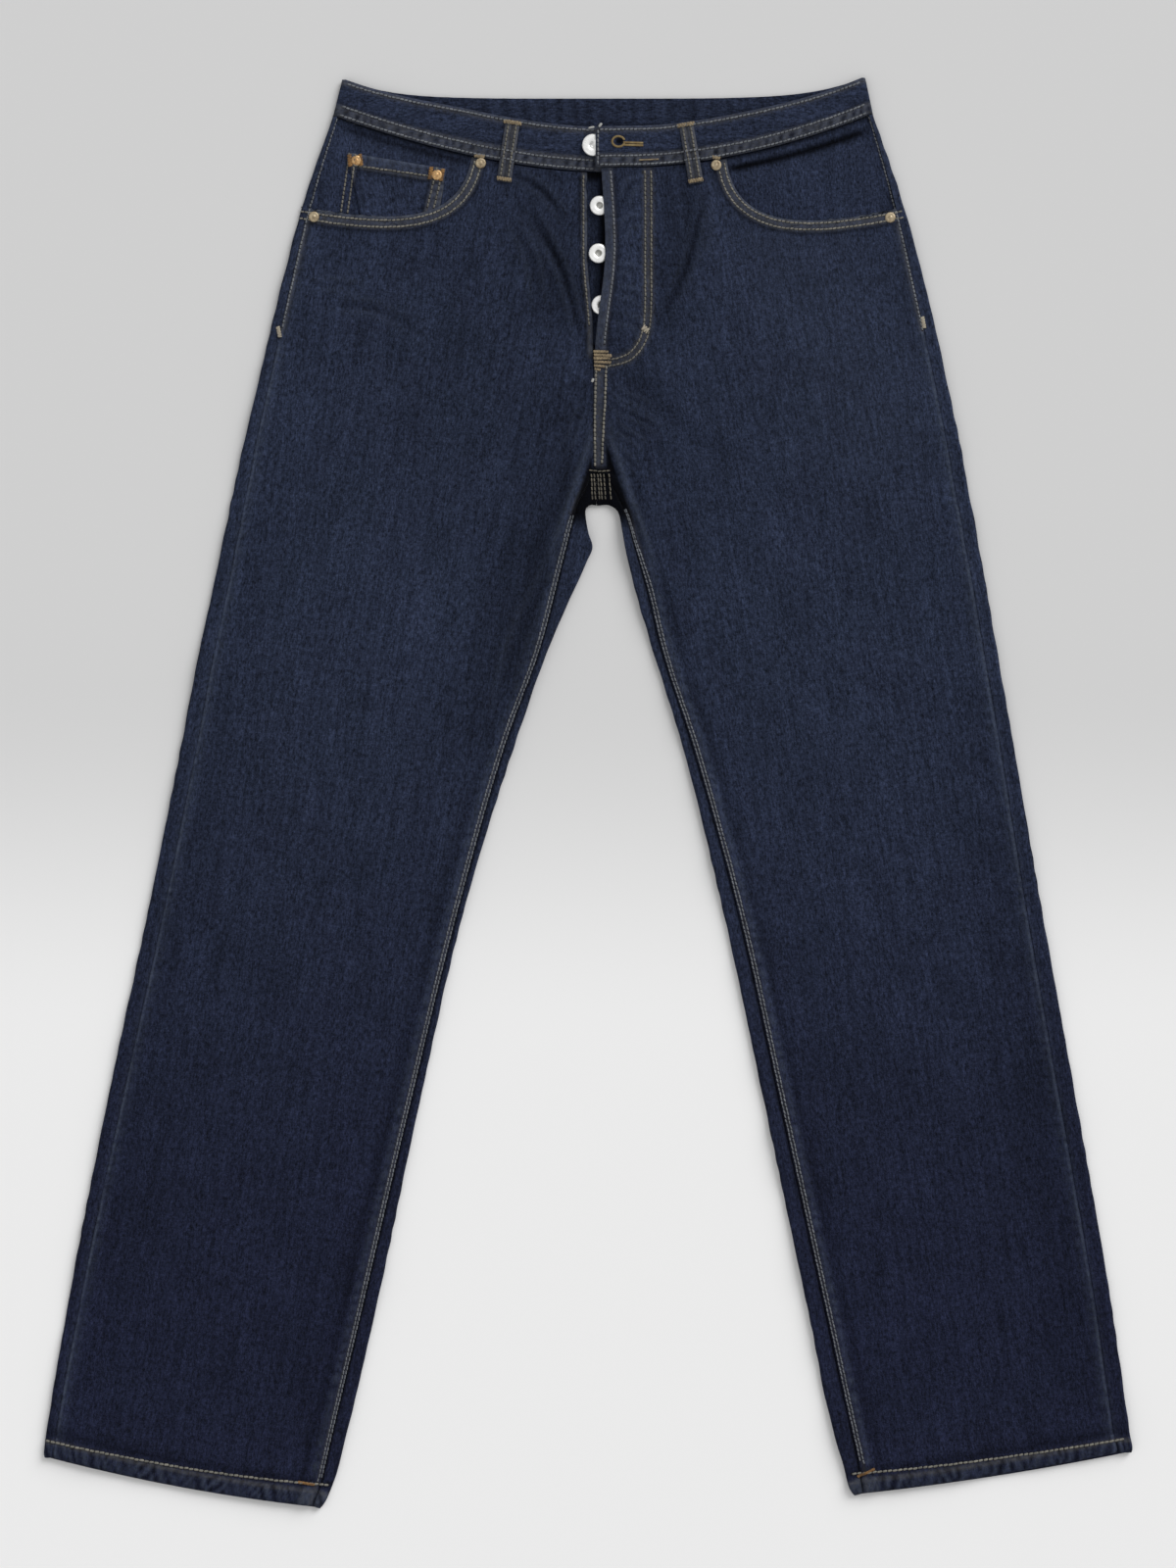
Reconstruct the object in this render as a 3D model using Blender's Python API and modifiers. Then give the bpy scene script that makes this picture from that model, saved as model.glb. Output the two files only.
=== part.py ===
"""Baggy five-pocket jeans, laid flat with the front up.

+X is the wearer's left, +Y runs from the hems to the waist and +Z is up. The cloth lies on Z = 0
and the origin is below the middle of the whole garment. All sizes are in millimetres until a point
goes into a mesh, where MM turns them into metres.
"""

import math
from collections import namedtuple

import bmesh
import bpy
from mathutils import Vector

MM = 0.001

# Cloth and how it lies
DENIM = 1.1
BAND_CLOTH = 2.0
HEM_CLOTH = 2.2
SEAM_GAP = 0.3
LEG_TOP = 5.2
BAND_TOP = 5.6
LEG_FOLD = 2.6
BAND_FOLD = 2.8
ROW_STEP = 32.0
FRONT_COLUMNS = 16
HIP_LENGTH = 150.0
NARROWEST_LIP = 3.6
WALL_STEPS = 7
FOLD_STEPS = 5
FRONT_WAIST_CURVE = {"right": 1.5, "left": 1.8}
BACK_WAIST_CURVE = 5.0

# Centre seams, seen from the front
CENTRE_X = 6.5

# Waistband
BAND_DEPTH_SIDE = 28.2
BAND_DEPTH = {"front": 32.0, "back": 29.5}
BAND_SLANT = {"right": 7.0, "left": -6.0}
BAND_END = {"right": 19.5, "left": 8.0}

# Fly: the left front lies over the buttons, so its edge is held up
FLY_RAISED_TO = 24.0
FLY_DOWN_BY = 50.0
FLY_BOTTOM = 322.0
FLY_RAMP = 30.0
BAND_RAISED_TO = 16.0
BAND_DOWN_BY = 62.0
STAND = {"left": -7.5, "right": 31.5, "top": 474.0, "bottom": 343.0, "taper": 9.0}

# Metal
BUTTON_HEIGHT = 4.0
WAIST_BUTTON_RADIUS = 8.5
FLY_BUTTON_RADIUS = 7.5
RIVET_RADIUS = 4.3
RIVET_HEIGHT = 1.3
ROUND_STEPS = 20

# Pockets. A facing reaches under the front by FACING_TURN, stops FACING_EDGE inside the side fold and
# has its top at a share of the waist edge.
FACING_TURN = 10.0
FACING_EDGE = 3.6
FACING_BELOW_WAIST = 4.0
FACING_MOUTH = (0.08, 0.9)
FACING_WAIST_SHARE = 0.52
FACING_STEPS = 7
COIN_THICKNESS = 1.0
MOUTH_POINTS = 14
CUTTER_REACH = 60.0

# Belt loops
LOOP_WIDTH = 12.0
LOOP_CLOTH = 1.3
LOOP_SLACK = 1.9
LOOP_STEPS = 8

# A section across one leg, from outseam to inseam. out is the outseam fold and lip the width of back
# panel that shows inside it. in_ is the inseam fold, or the centre-back seam above the crotch, and
# seam is the front panel's inner edge. bow is how far the middle of the section hangs below its ends.
Section = namedtuple("Section", "out_x out_y lip in_x in_y seam_x seam_y bow")

CROTCH_ROW = 5
LEGS = {
    "right": [
        Section(-195.0, 517.0, 2.5, 6.5, 501.5, -0.5, 474.5, 0.0),
        Section(-216.0, 457.0, 5.0, 6.5, 418.0, -0.5, 416.0, 0.0),
        Section(-236.0, 382.0, 7.5, 6.5, 344.5, 4.2, 346.0, 0.0),
        Section(-257.0, 293.5, 11.0, 6.5, 266.0, 4.2, 277.0, 0.0),
        Section(-265.0, 260.0, 12.0, 6.5, 238.0, 4.2, 262.0, 0.0),
        Section(-270.0, 236.5, 13.0, 6.5, 220.5, 6.5, 245.5, 0.0),
        Section(-273.0, 223.0, 13.0, 0.5, 220.0, 2.0, 241.0, 0.0),
        Section(-275.0, 212.5, 13.0, -2.0, 215.0, -2.0, 232.0, 0.0),
        Section(-277.5, 200.5, 13.5, 0.0, 200.5, -7.5, 221.5, 0.0),
        Section(-280.5, 187.0, 13.5, 3.5, 188.0, -12.0, 205.0, 0.0),
        Section(-283.0, 175.0, 14.0, -1.0, 176.5, -16.0, 188.5, 0.0),
        Section(-287.0, 155.5, 14.0, -10.0, 157.0, -23.0, 160.0, 0.0),
        Section(-295.0, 119.5, 14.5, -26.5, 119.5, -35.0, 119.5, 0.0),
        Section(-311.0, 37.0, 15.0, -56.0, 37.0, -63.5, 39.5, 0.0),
        Section(-335.0, -83.0, 15.0, -94.0, -86.5, -99.5, -86.0, 0.0),
        Section(-367.0, -233.0, 14.0, -130.0, -242.5, -138.5, -244.0, 0.0),
        Section(-398.0, -392.5, 11.0, -165.0, -407.0, -177.5, -410.0, 1.0),
        Section(-413.5, -485.0, 9.0, -189.5, -509.5, -201.5, -514.0, 3.0),
        Section(-414.5, -492.0, 9.0, -192.0, -519.0, -203.5, -523.0, 3.5),
        Section(-417.0, -508.0, 9.0, -202.0, -547.0, -211.5, -545.0, 4.0),
    ],
    "left": [
        Section(218.0, 518.5, 2.5, 6.5, 501.5, 10.0, 477.5, 0.0),
        Section(239.0, 457.0, 6.0, 6.5, 418.0, 13.0, 418.0, 0.0),
        Section(259.5, 382.0, 9.0, 6.5, 344.5, 5.5, 344.5, 0.0),
        Section(279.0, 293.5, 12.5, 6.5, 266.0, 4.2, 277.0, 0.0),
        Section(286.0, 260.0, 13.0, 6.5, 238.0, 4.2, 262.0, 0.0),
        Section(290.0, 236.5, 13.0, 6.5, 220.5, 6.5, 245.5, 0.0),
        Section(292.5, 223.0, 13.0, 16.5, 220.0, 13.0, 242.0, 0.0),
        Section(295.0, 212.5, 13.0, 23.0, 215.0, 18.0, 235.0, 0.0),
        Section(297.0, 200.5, 13.0, 26.0, 201.5, 24.0, 224.0, 0.0),
        Section(299.0, 187.0, 13.0, 28.5, 187.0, 30.0, 209.0, 0.0),
        Section(301.5, 175.0, 13.0, 31.0, 176.0, 35.0, 190.0, 0.0),
        Section(305.0, 155.5, 13.0, 36.0, 155.5, 43.0, 161.5, 0.0),
        Section(311.0, 119.5, 13.0, 46.5, 119.5, 53.0, 119.5, 0.0),
        Section(325.5, 37.0, 13.5, 72.0, 37.0, 79.0, 37.0, 0.0),
        Section(346.0, -83.0, 15.0, 102.5, -86.5, 113.0, -86.5, 0.0),
        Section(373.0, -233.0, 16.0, 135.5, -240.5, 147.0, -240.5, 0.0),
        Section(400.5, -392.5, 16.0, 169.5, -401.5, 182.0, -401.5, 1.0),
        Section(413.0, -480.0, 15.0, 191.0, -500.0, 203.5, -500.0, 2.0),
        Section(414.0, -487.0, 15.0, 194.0, -510.0, 205.5, -509.0, 2.2),
        Section(417.0, -504.0, 14.0, 201.0, -537.0, 210.0, -535.0, 2.5),
    ],
}

# A crease from one end to the other, with a soft ridge along each side of it
Crease = namedtuple("Crease", "x0 y0 x1 y1 width height")

CREASES = [
    Crease(-52.0, 466.0, 2.0, 346.0, 10.0, 1.8),
    Crease(98.0, 446.0, 56.0, 346.0, 12.0, 2.2),
    Crease(14.0, 318.0, 136.0, 246.0, 14.0, 2.6),
    Crease(-206.0, 380.0, -120.0, 352.0, 11.0, 1.8),
    Crease(-6.0, 268.0, -76.0, 50.0, 15.0, 2.4),
    Crease(16.0, 270.0, 66.0, 120.0, 13.0, 2.2),
    Crease(-262.0, -20.0, -150.0, -60.0, 20.0, 1.4),
    Crease(150.0, -10.0, 290.0, -50.0, 20.0, 1.4),
]
CROTCH_HOLLOW = {"x": 9.0, "y": 233.0, "radius": 17.0, "depth": 1.5}

# The pocket mouths, as the four control points of a Bezier curve from the outseam to the waist
POCKET_MOUTHS = {
    "right": [(-224.0, 448.5), (-150.0, 436.0), (-97.0, 433.0), (-89.0, 488.0)],
    "left": [(244.0, 448.0), (172.0, 432.0), (112.0, 428.0), (106.0, 489.0)],
}
COIN_TOP = ((-184.0, 490.0), (-108.5, 477.5))
COIN_BOTTOM = (0.25, 0.63)

Loop = namedtuple("Loop", "top_x top_y foot_x foot_y")
BELT_LOOPS = {
    "right": Loop(-56.0, 516.5, -65.5, 467.0),
    "left": Loop(74.0, 514.5, 82.5, 466.0),
}
WAIST_BUTTON_AT = (4.0, 495.0)
FLY_BUTTONS_AT = [(8.9, 449.0), (8.0, 412.5), (10.2, 373.0)]
RIVETS = {
    "rivet_coin_outer": (-177.0, 483.5),
    "rivet_coin_inner": (-115.5, 472.5),
    "rivet_mouth_right_outer": (-209.5, 440.5),
    "rivet_mouth_right_inner": (-82.0, 481.5),
    "rivet_mouth_left_outer": (231.0, 440.0),
    "rivet_mouth_left_inner": (98.0, 480.0),
}

OUTWARD = {"right": -1.0, "left": 1.0}


def clear_scene():
    for item in list(bpy.data.objects):
        bpy.data.objects.remove(item, do_unlink=True)


def new_collection(name):
    group = bpy.data.collections.new(name)
    bpy.context.scene.collection.children.link(group)
    return group


def material(name, colour, roughness, metallic=0.0):
    made = bpy.data.materials.new(name)
    made.use_nodes = True
    shader = made.node_tree.nodes["Principled BSDF"]
    shader.inputs["Base Color"].default_value = (*colour, 1.0)
    shader.inputs["Roughness"].default_value = roughness
    shader.inputs["Metallic"].default_value = metallic
    return made


def ease(value):
    """0 below 0, 1 above 1 and an even S between."""
    t = min(max(value, 0.0), 1.0)
    return t * t * (3.0 - 2.0 * t)


def mix(a, b, t):
    return a + (b - a) * t


def smooth_value(keys, values, at):
    """Value at a place on the smooth curve through values set at rising keys."""
    span = max(i for i in range(len(keys) - 1) if keys[i] <= at or i == 0)
    slopes = [(values[i + 1] - values[i]) / (keys[i + 1] - keys[i]) for i in range(len(keys) - 1)]

    def tangent(i):
        if i == 0 or i == len(keys) - 1:
            return slopes[min(i, len(slopes) - 1)]
        if slopes[i - 1] * slopes[i] <= 0.0:
            return 0.0
        before = keys[i] - keys[i - 1]
        after = keys[i + 1] - keys[i]
        return (slopes[i - 1] * after + slopes[i] * before) / (before + after)

    width = keys[span + 1] - keys[span]
    t = (at - keys[span]) / width
    rise = values[span + 1] - values[span]
    left = tangent(span) * width - rise
    right = rise - tangent(span + 1) * width
    return mix(values[span], values[span + 1], t) + t * (1.0 - t) * (left * (1.0 - t) + right * t)


def section_at(side, place):
    """The section at a place down the leg, given as minus its outseam's Y."""
    table = LEGS[side]
    keys = [-row.out_y for row in table]
    columns = zip(*table)
    return Section(*(smooth_value(keys, list(column), place) for column in columns))


def leg_sections(side):
    """Sections down one leg, close enough for a smooth wall, with the first one at the crotch."""
    table = LEGS[side]
    sections = []
    crotch = 0
    for i in range(len(table) - 1):
        if i == CROTCH_ROW:
            crotch = len(sections)
        start, stop = -table[i].out_y, -table[i + 1].out_y
        count = max(1, math.ceil((stop - start) / ROW_STEP))
        for k in range(count):
            sections.append(section_at(side, mix(start, stop, k / count)))
    sections.append(table[-1])
    return sections, crotch


def crease_height(x, y):
    """Height of the soft ridges beside the creases."""
    height = 0.0
    for crease in CREASES:
        run = Vector((crease.x1 - crease.x0, crease.y1 - crease.y0))
        offset = Vector((x - crease.x0, y - crease.y0))
        along = offset.dot(run) / run.length_squared
        if 0.0 < along < 1.0:
            across = (offset - run * along).length / crease.width
            fade = (4.0 * along * (1.0 - along)) ** 0.7
            height += crease.height * fade * across ** 2 * math.exp(1.0 - across ** 2)
    return height


def front_height(x, y):
    """Height of the outer face of the cloth that lies on top."""
    hollow = CROTCH_HOLLOW
    away = math.hypot(x - hollow["x"], y - hollow["y"]) / hollow["radius"]
    return LEG_TOP + crease_height(x, y) - hollow["depth"] * math.exp(-away ** 2)


def fly_rise(x, y):
    """How far the buttons hold up the left front along the fly."""
    across = 1.0 - ease((x - FLY_RAISED_TO) / (FLY_DOWN_BY - FLY_RAISED_TO))
    down = ease((y - FLY_BOTTOM) / FLY_RAMP)
    return (BUTTON_HEIGHT + 3.0 * SEAM_GAP) * across * down


def band_rise(x):
    """How far the waist button holds up the left end of the waistband."""
    across = 1.0 - ease((x - BAND_RAISED_TO) / (BAND_DOWN_BY - BAND_RAISED_TO))
    return (BUTTON_HEIGHT + 2.0 * SEAM_GAP + BAND_CLOTH) * across


def waist_power(section, power):
    """The waist edges are curved, and the sections grow straight towards the hip."""
    waist_y = LEGS["right"][0].out_y
    return 1.0 + (power - 1.0) * ease((section.out_y - waist_y + HIP_LENGTH) / HIP_LENGTH)


def across_section(section, start, stop, t, power):
    """Point at a fraction t of the way from the outseam to the inner edge."""
    x = mix(start[0], stop[0], t)
    y = stop[1] + (start[1] - stop[1]) * (1.0 - t) ** power
    return x, y - 4.0 * section.bow * t * (1.0 - t)


def front_point(side, section, t, is_leg):
    """Point of the front panel's outer face, at a fraction t from the side seam."""
    outward = OUTWARD[side]
    start = (section.out_x - outward * (section.lip + SEAM_GAP), section.out_y)
    stop_x = section.seam_x + outward * SEAM_GAP
    if is_leg:
        along = inseam_direction(section)
        stop = (stop_x + along.x * SEAM_GAP, section.seam_y + along.y * SEAM_GAP)
    else:
        stop = (stop_x, section.seam_y)
    power = waist_power(section, FRONT_WAIST_CURVE[side])
    return across_section(section, start, stop, t, power)


def inseam_direction(section):
    """Unit step from the inseam fold towards the inseam."""
    return Vector((section.seam_x - section.in_x, section.seam_y - section.in_y)).normalized()


def loft(bm, rows):
    """Skin rows of points with quads. A shorter row is joined to the start of a longer one."""
    grid = [[bm.verts.new([value * MM for value in point]) for point in row] for row in rows]
    for upper, lower in zip(grid, grid[1:]):
        for j in range(min(len(upper), len(lower)) - 1):
            bm.faces.new((upper[j], lower[j], lower[j + 1], upper[j + 1]))
    return grid


def add_object(name, mesh, finish, group):
    item = bpy.data.objects.new(name, mesh)
    mesh.materials.append(finish)
    group.objects.link(item)
    return item


def cloth_piece(name, rows, thickness, finish, group, flip=False, double_rows=0):
    """A wall of cloth behind an open face. The last double_rows are turned up to twice the cloth."""
    mesh = bpy.data.meshes.new(name)
    bm = bmesh.new()
    grid = loft(bm, rows)
    doubled = []
    if double_rows:
        bm.verts.index_update()
        doubled = [vert.index for row in grid[-double_rows:] for vert in row]
    if flip:
        bmesh.ops.reverse_faces(bm, faces=bm.faces)
    bm.to_mesh(mesh)
    bm.free()
    item = add_object(name, mesh, finish, group)
    wall = item.modifiers.new("Cloth", "SOLIDIFY")
    wall.thickness = thickness * MM
    wall.offset = -1.0
    wall.use_even_offset = True
    if doubled:
        item.vertex_groups.new(name="hem").add(doubled, 1.0, "REPLACE")
        wall.vertex_group = "hem"
        wall.thickness_vertex_group = thickness / HEM_CLOTH
        wall.thickness = HEM_CLOTH * MM
    mesh.shade_smooth()
    mesh.set_sharp_from_angle(angle=math.radians(40))
    return item


def fold_points(edge, inward, radius, top, upwards):
    """Half round of a folded edge between the table and the top of the cloth."""
    angles = [math.pi * k / FOLD_STEPS for k in range(1, FOLD_STEPS)]
    if not upwards:
        angles.reverse()
    points = []
    for angle in angles:
        reach = radius * (1.0 - math.sin(angle))
        height = top * (1.0 - math.cos(angle)) / 2.0
        points.append((edge[0] + inward[0] * reach, edge[1] + inward[1] * reach, height))
    return points


def back_row(side, section, is_leg):
    """Points of a back panel across one section: lip, outseam fold, underside, inseam fold, lip."""
    outward = OUTWARD[side]
    edge = (section.out_x, section.out_y)
    inward = (-outward, 0.0)
    points = []
    lip = max(section.lip, NARROWEST_LIP)
    for reach in (lip, mix(LEG_FOLD, lip, 0.5), LEG_FOLD):
        x = section.out_x - outward * reach
        points.append((x, section.out_y, front_height(x, section.out_y)))
    points += fold_points(edge, inward, LEG_FOLD, LEG_TOP, upwards=False)
    start = (section.out_x - outward * LEG_FOLD, section.out_y)
    along = inseam_direction(section)
    if is_leg:
        stop = (section.in_x + along.x * LEG_FOLD, section.in_y + along.y * LEG_FOLD)
    else:
        stop = (CENTRE_X + outward * SEAM_GAP / 2.0, section.in_y)
    power = waist_power(section, BACK_WAIST_CURVE)
    for k in range(WALL_STEPS + 1):
        points.append((*across_section(section, start, stop, k / WALL_STEPS, power), 0.0))
    if is_leg:
        seam = Vector((section.seam_x, section.seam_y))
        fold_top = Vector(stop)
        points += fold_points((section.in_x, section.in_y), along, LEG_FOLD, LEG_TOP, upwards=True)
        for t in (0.0, 0.5, 1.0):
            place = fold_top.lerp(seam, t)
            points.append((place.x, place.y, front_height(place.x, place.y)))
    return points


def part_at_centre(points, side):
    """Keep a back panel its half gap clear of the centre plane, where both panels meet at the crotch."""
    outward = OUTWARD[side]
    limit = CENTRE_X + outward * SEAM_GAP / 2.0
    return [(max(x * outward, limit * outward) * outward, y, z) for x, y, z in points]


def build_back(side, finish, group):
    sections, crotch = leg_sections(side)
    rows = [back_row(side, section, i >= crotch) for i, section in enumerate(sections)]
    rows[crotch] = part_at_centre(rows[crotch], side)
    cloth_piece("back_panel_" + side, rows, DENIM, finish, group, flip=side == "right", double_rows=2)


def build_front(side, finish, group, cutters):
    sections, crotch = leg_sections(side)
    rows = []
    for i, section in enumerate(sections):
        row = []
        for k in range(FRONT_COLUMNS):
            x, y = front_point(side, section, k / (FRONT_COLUMNS - 1), i >= crotch)
            height = front_height(x, y)
            if side == "left":
                height += fly_rise(x, y)
            row.append((x, y, height))
        rows.append(row)
    panel = cloth_piece("front_panel_" + side, rows, DENIM, finish, group, flip=side == "left", double_rows=2)
    cut = panel.modifiers.new("Pocket mouth", "BOOLEAN")
    cut.operation = "DIFFERENCE"
    cut.object = mouth_cutter(side, cutters)


def mouth_curve(side, start=0.0, stop=1.0, count=MOUTH_POINTS):
    """Points and outward-facing normals of the pocket mouth, from the outseam to the waist."""
    a, b, c, d = [Vector(point) for point in POCKET_MOUTHS[side]]
    curve = []
    for k in range(count):
        t = mix(start, stop, k / (count - 1))
        s = 1.0 - t
        point = a * s ** 3 + b * 3.0 * s * s * t + c * 3.0 * s * t * t + d * t ** 3
        slope = (b - a) * s * s + (c - b) * 2.0 * s * t + (d - c) * t * t
        normal = Vector((slope.y, -slope.x)).normalized() * -OUTWARD[side]
        curve.append((point, normal))
    return curve


def flat_plate(name, outline, bottom, thickness, finish, group):
    """A flat piece with the given outline, its lower face at the height bottom."""
    shape = bpy.data.curves.new(name, "CURVE")
    shape.dimensions = "2D"
    shape.fill_mode = "BOTH"
    shape.extrude = thickness * MM / 2.0
    spline = shape.splines.new("POLY")
    spline.points.add(len(outline) - 1)
    for point, (x, y) in zip(spline.points, outline):
        point.co = (x * MM, y * MM, 0.0, 1.0)
    spline.use_cyclic_u = True
    item = add_object(name, shape, finish, group)
    item.location.z = (bottom + thickness / 2.0) * MM
    return item


def mouth_cutter(side, cutters):
    """The corner between side seam and waist that the pocket mouth takes out of the front."""
    outward = OUTWARD[side]
    curve = [point for point, normal in mouth_curve(side)]
    far_x = curve[0].x + outward * CUTTER_REACH
    far_y = curve[-1].y + CUTTER_REACH
    corners = [Vector((curve[-1].x, far_y)), Vector((far_x, far_y)), Vector((far_x, curve[0].y))]
    outline = curve + corners
    mesh = bpy.data.meshes.new("mouth_cutter_" + side)
    bm = bmesh.new()
    floor = bm.faces.new([bm.verts.new((point.x * MM, point.y * MM, 0.0)) for point in outline])
    walls = bmesh.ops.extrude_face_region(bm, geom=[floor])
    raised = [item for item in walls["geom"] if isinstance(item, bmesh.types.BMVert)]
    bmesh.ops.translate(bm, verts=raised, vec=(0.0, 0.0, CUTTER_REACH * MM))
    bmesh.ops.recalc_face_normals(bm, faces=bm.faces)
    bm.to_mesh(mesh)
    bm.free()
    cutter = bpy.data.objects.new("mouth_cutter_" + side, mesh)
    cutter.hide_render = True
    cutter.display_type = "WIRE"
    cutters.objects.link(cutter)
    return cutter


def waist_edge(side, layer, t):
    """Waist edge of a panel, at a fraction t from the side to the centre."""
    top = LEGS[side][0]
    outward = OUTWARD[side]
    start = (top.out_x - outward * BAND_FOLD, top.out_y)
    if layer == "front":
        stop = (BAND_END[side], top.seam_y)
        return across_section(top, start, stop, t, waist_power(top, FRONT_WAIST_CURVE[side]))
    return across_section(top, start, (CENTRE_X, top.in_y), t, waist_power(top, BACK_WAIST_CURVE))


def band_points(side, layer, t, z):
    """Lower edge, middle and upper edge of the waistband at one place round the waist."""
    x, y = waist_edge(side, layer, t)
    y += SEAM_GAP
    slant = BAND_SLANT[side] * (1.0 - t)
    depth = mix(BAND_DEPTH_SIDE, BAND_DEPTH[layer], ease(t * 2.0))
    return [(x + slant * v, y + depth * v, z) for v in (0.0, 0.5, 1.0)]


def band_fold(side, downwards):
    """Rows of the waistband round a side fold, downwards or upwards."""
    top = LEGS[side][0]
    outward = OUTWARD[side]
    slant = BAND_SLANT[side]
    columns = []
    for v in (0.0, 0.5, 1.0):
        edge = (top.out_x + slant * v, top.out_y + SEAM_GAP + BAND_DEPTH_SIDE * v)
        columns.append(fold_points(edge, (-outward, 0.0), BAND_FOLD, BAND_TOP, upwards=not downwards))
    return [list(row) for row in zip(*columns)]


def build_band(finish, group):
    front_steps = [k / 12.0 for k in range(13)]
    back_steps = [k / 8.0 for k in range(9)]
    rows = []
    for t in reversed(front_steps):
        rows.append(band_points("right", "front", t, BAND_TOP))
    rows += band_fold("right", downwards=True)
    for t in back_steps:
        rows.append(band_points("right", "back", t, 0.0))
    for t in reversed(back_steps[:-1]):
        rows.append(band_points("left", "back", t, 0.0))
    rows += band_fold("left", downwards=False)
    for t in front_steps:
        row = band_points("left", "front", t, BAND_TOP)
        rows.append([(x, y, z + band_rise(x)) for x, y, z in row])
    cloth_piece("waistband", rows, BAND_CLOTH, finish, group, flip=True)


def build_facing(side, finish, group):
    """The piece that shows in a pocket mouth, a little lower than the front."""
    outward = OUTWARD[side]
    curve = mouth_curve(side, *FACING_MOUTH, FACING_STEPS + 2)
    mouth = [point + normal * FACING_TURN for point, normal in curve]
    panel_top = LEGS[side][0]
    low = section_at(side, -mouth[0].y)
    high = section_at(side, FACING_BELOW_WAIST - panel_top.out_y)
    foot = Vector((low.out_x - outward * FACING_EDGE, mouth[0].y))
    corner = Vector((high.out_x - outward * FACING_EDGE, high.out_y))
    waist = []
    for k in range(FACING_STEPS):
        t = FACING_WAIST_SHARE * k / (FACING_STEPS - 1)
        x, y = front_point(side, panel_top, t, is_leg=False)
        if abs(mouth[-1].x) < abs(x) < abs(corner.x) - DENIM:
            waist.append(Vector((x, y - SEAM_GAP)))
    outline = [foot, corner, *waist, *reversed(mouth)]
    top = LEG_TOP - DENIM - SEAM_GAP
    flat_plate("pocket_facing_" + side, outline, top - DENIM, DENIM, finish, group)


def build_coin_pocket(finish, group):
    """Small pocket on the right facing. Its lower end stops where the front begins."""
    curve = mouth_curve("right", *COIN_BOTTOM, FACING_STEPS)
    bottom = [point - normal * 2.0 * SEAM_GAP for point, normal in curve]
    outline = list(COIN_TOP) + [tuple(point) for point in reversed(bottom)]
    flat_plate("coin_pocket", outline, LEG_TOP - DENIM, COIN_THICKNESS, finish, group)


def build_button_stand(finish, group):
    """The strip behind the fly that carries the fly buttons."""
    taper = STAND["taper"]
    outline = [
        (STAND["left"], STAND["top"]),
        (STAND["left"], STAND["bottom"]),
        (STAND["right"] - taper, STAND["bottom"]),
        (STAND["right"], STAND["bottom"] + 2.0 * taper),
        (STAND["right"], STAND["top"]),
    ]
    top = LEG_TOP - DENIM - SEAM_GAP
    flat_plate("button_stand", outline, top - DENIM, DENIM, finish, group)


def build_loop(side, finish, group):
    """A belt loop: a narrow strap over the waistband, slack in the middle."""
    loop = BELT_LOOPS[side]
    top = Vector((loop.top_x, loop.top_y))
    foot = Vector((loop.foot_x, loop.foot_y))
    run = (foot - top).normalized()
    half = Vector((-run.y, run.x)) * LOOP_WIDTH / 2.0
    rows = []
    for k in range(LOOP_STEPS + 1):
        t = k / LOOP_STEPS
        centre = top.lerp(foot, t)
        height = BAND_TOP + SEAM_GAP + LOOP_CLOTH + LOOP_SLACK * math.sin(math.pi * t) ** 2
        rows.append([(*(centre - half), height), (*centre, height), (*(centre + half), height)])
    cloth_piece("belt_loop_" + side, rows, LOOP_CLOTH, finish, group, flip=False)


def turned(name, profile, place, seat, finish, group):
    """A round piece from its profile of (radius, height), run from the top down."""
    mesh = bpy.data.meshes.new(name)
    bm = bmesh.new()
    verts = [bm.verts.new((radius * MM, 0.0, height * MM)) for radius, height in profile]
    for upper, lower in zip(verts, verts[1:]):
        bm.edges.new((upper, lower))
    bm.to_mesh(mesh)
    bm.free()
    item = add_object(name, mesh, finish, group)
    item.location = (place[0] * MM, place[1] * MM, seat * MM)
    spin = item.modifiers.new("Turn", "SCREW")
    spin.steps = ROUND_STEPS
    spin.render_steps = ROUND_STEPS
    spin.use_merge_vertices = True
    spin.merge_threshold = 0.00001
    return item


def button_profile(radius):
    """Shank button: a domed cap with a rolled rim on a short narrow post."""
    top = BUTTON_HEIGHT
    return [
        (0.0, top - 0.5),
        (radius * 0.55, top - 0.4),
        (radius * 0.8, top),
        (radius * 0.97, top - 0.6),
        (radius, top - 1.4),
        (radius * 0.92, top - 2.2),
        (radius * 0.45, top - 2.5),
        (radius * 0.4, 0.5),
        (radius * 0.55, 0.0),
        (0.0, 0.0),
    ]


def rivet_profile():
    return [
        (0.0, RIVET_HEIGHT),
        (RIVET_RADIUS * 0.35, RIVET_HEIGHT * 0.92),
        (RIVET_RADIUS * 0.5, RIVET_HEIGHT * 0.6),
        (RIVET_RADIUS * 0.85, RIVET_HEIGHT * 0.5),
        (RIVET_RADIUS, 0.0),
        (0.0, 0.0),
    ]


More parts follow.
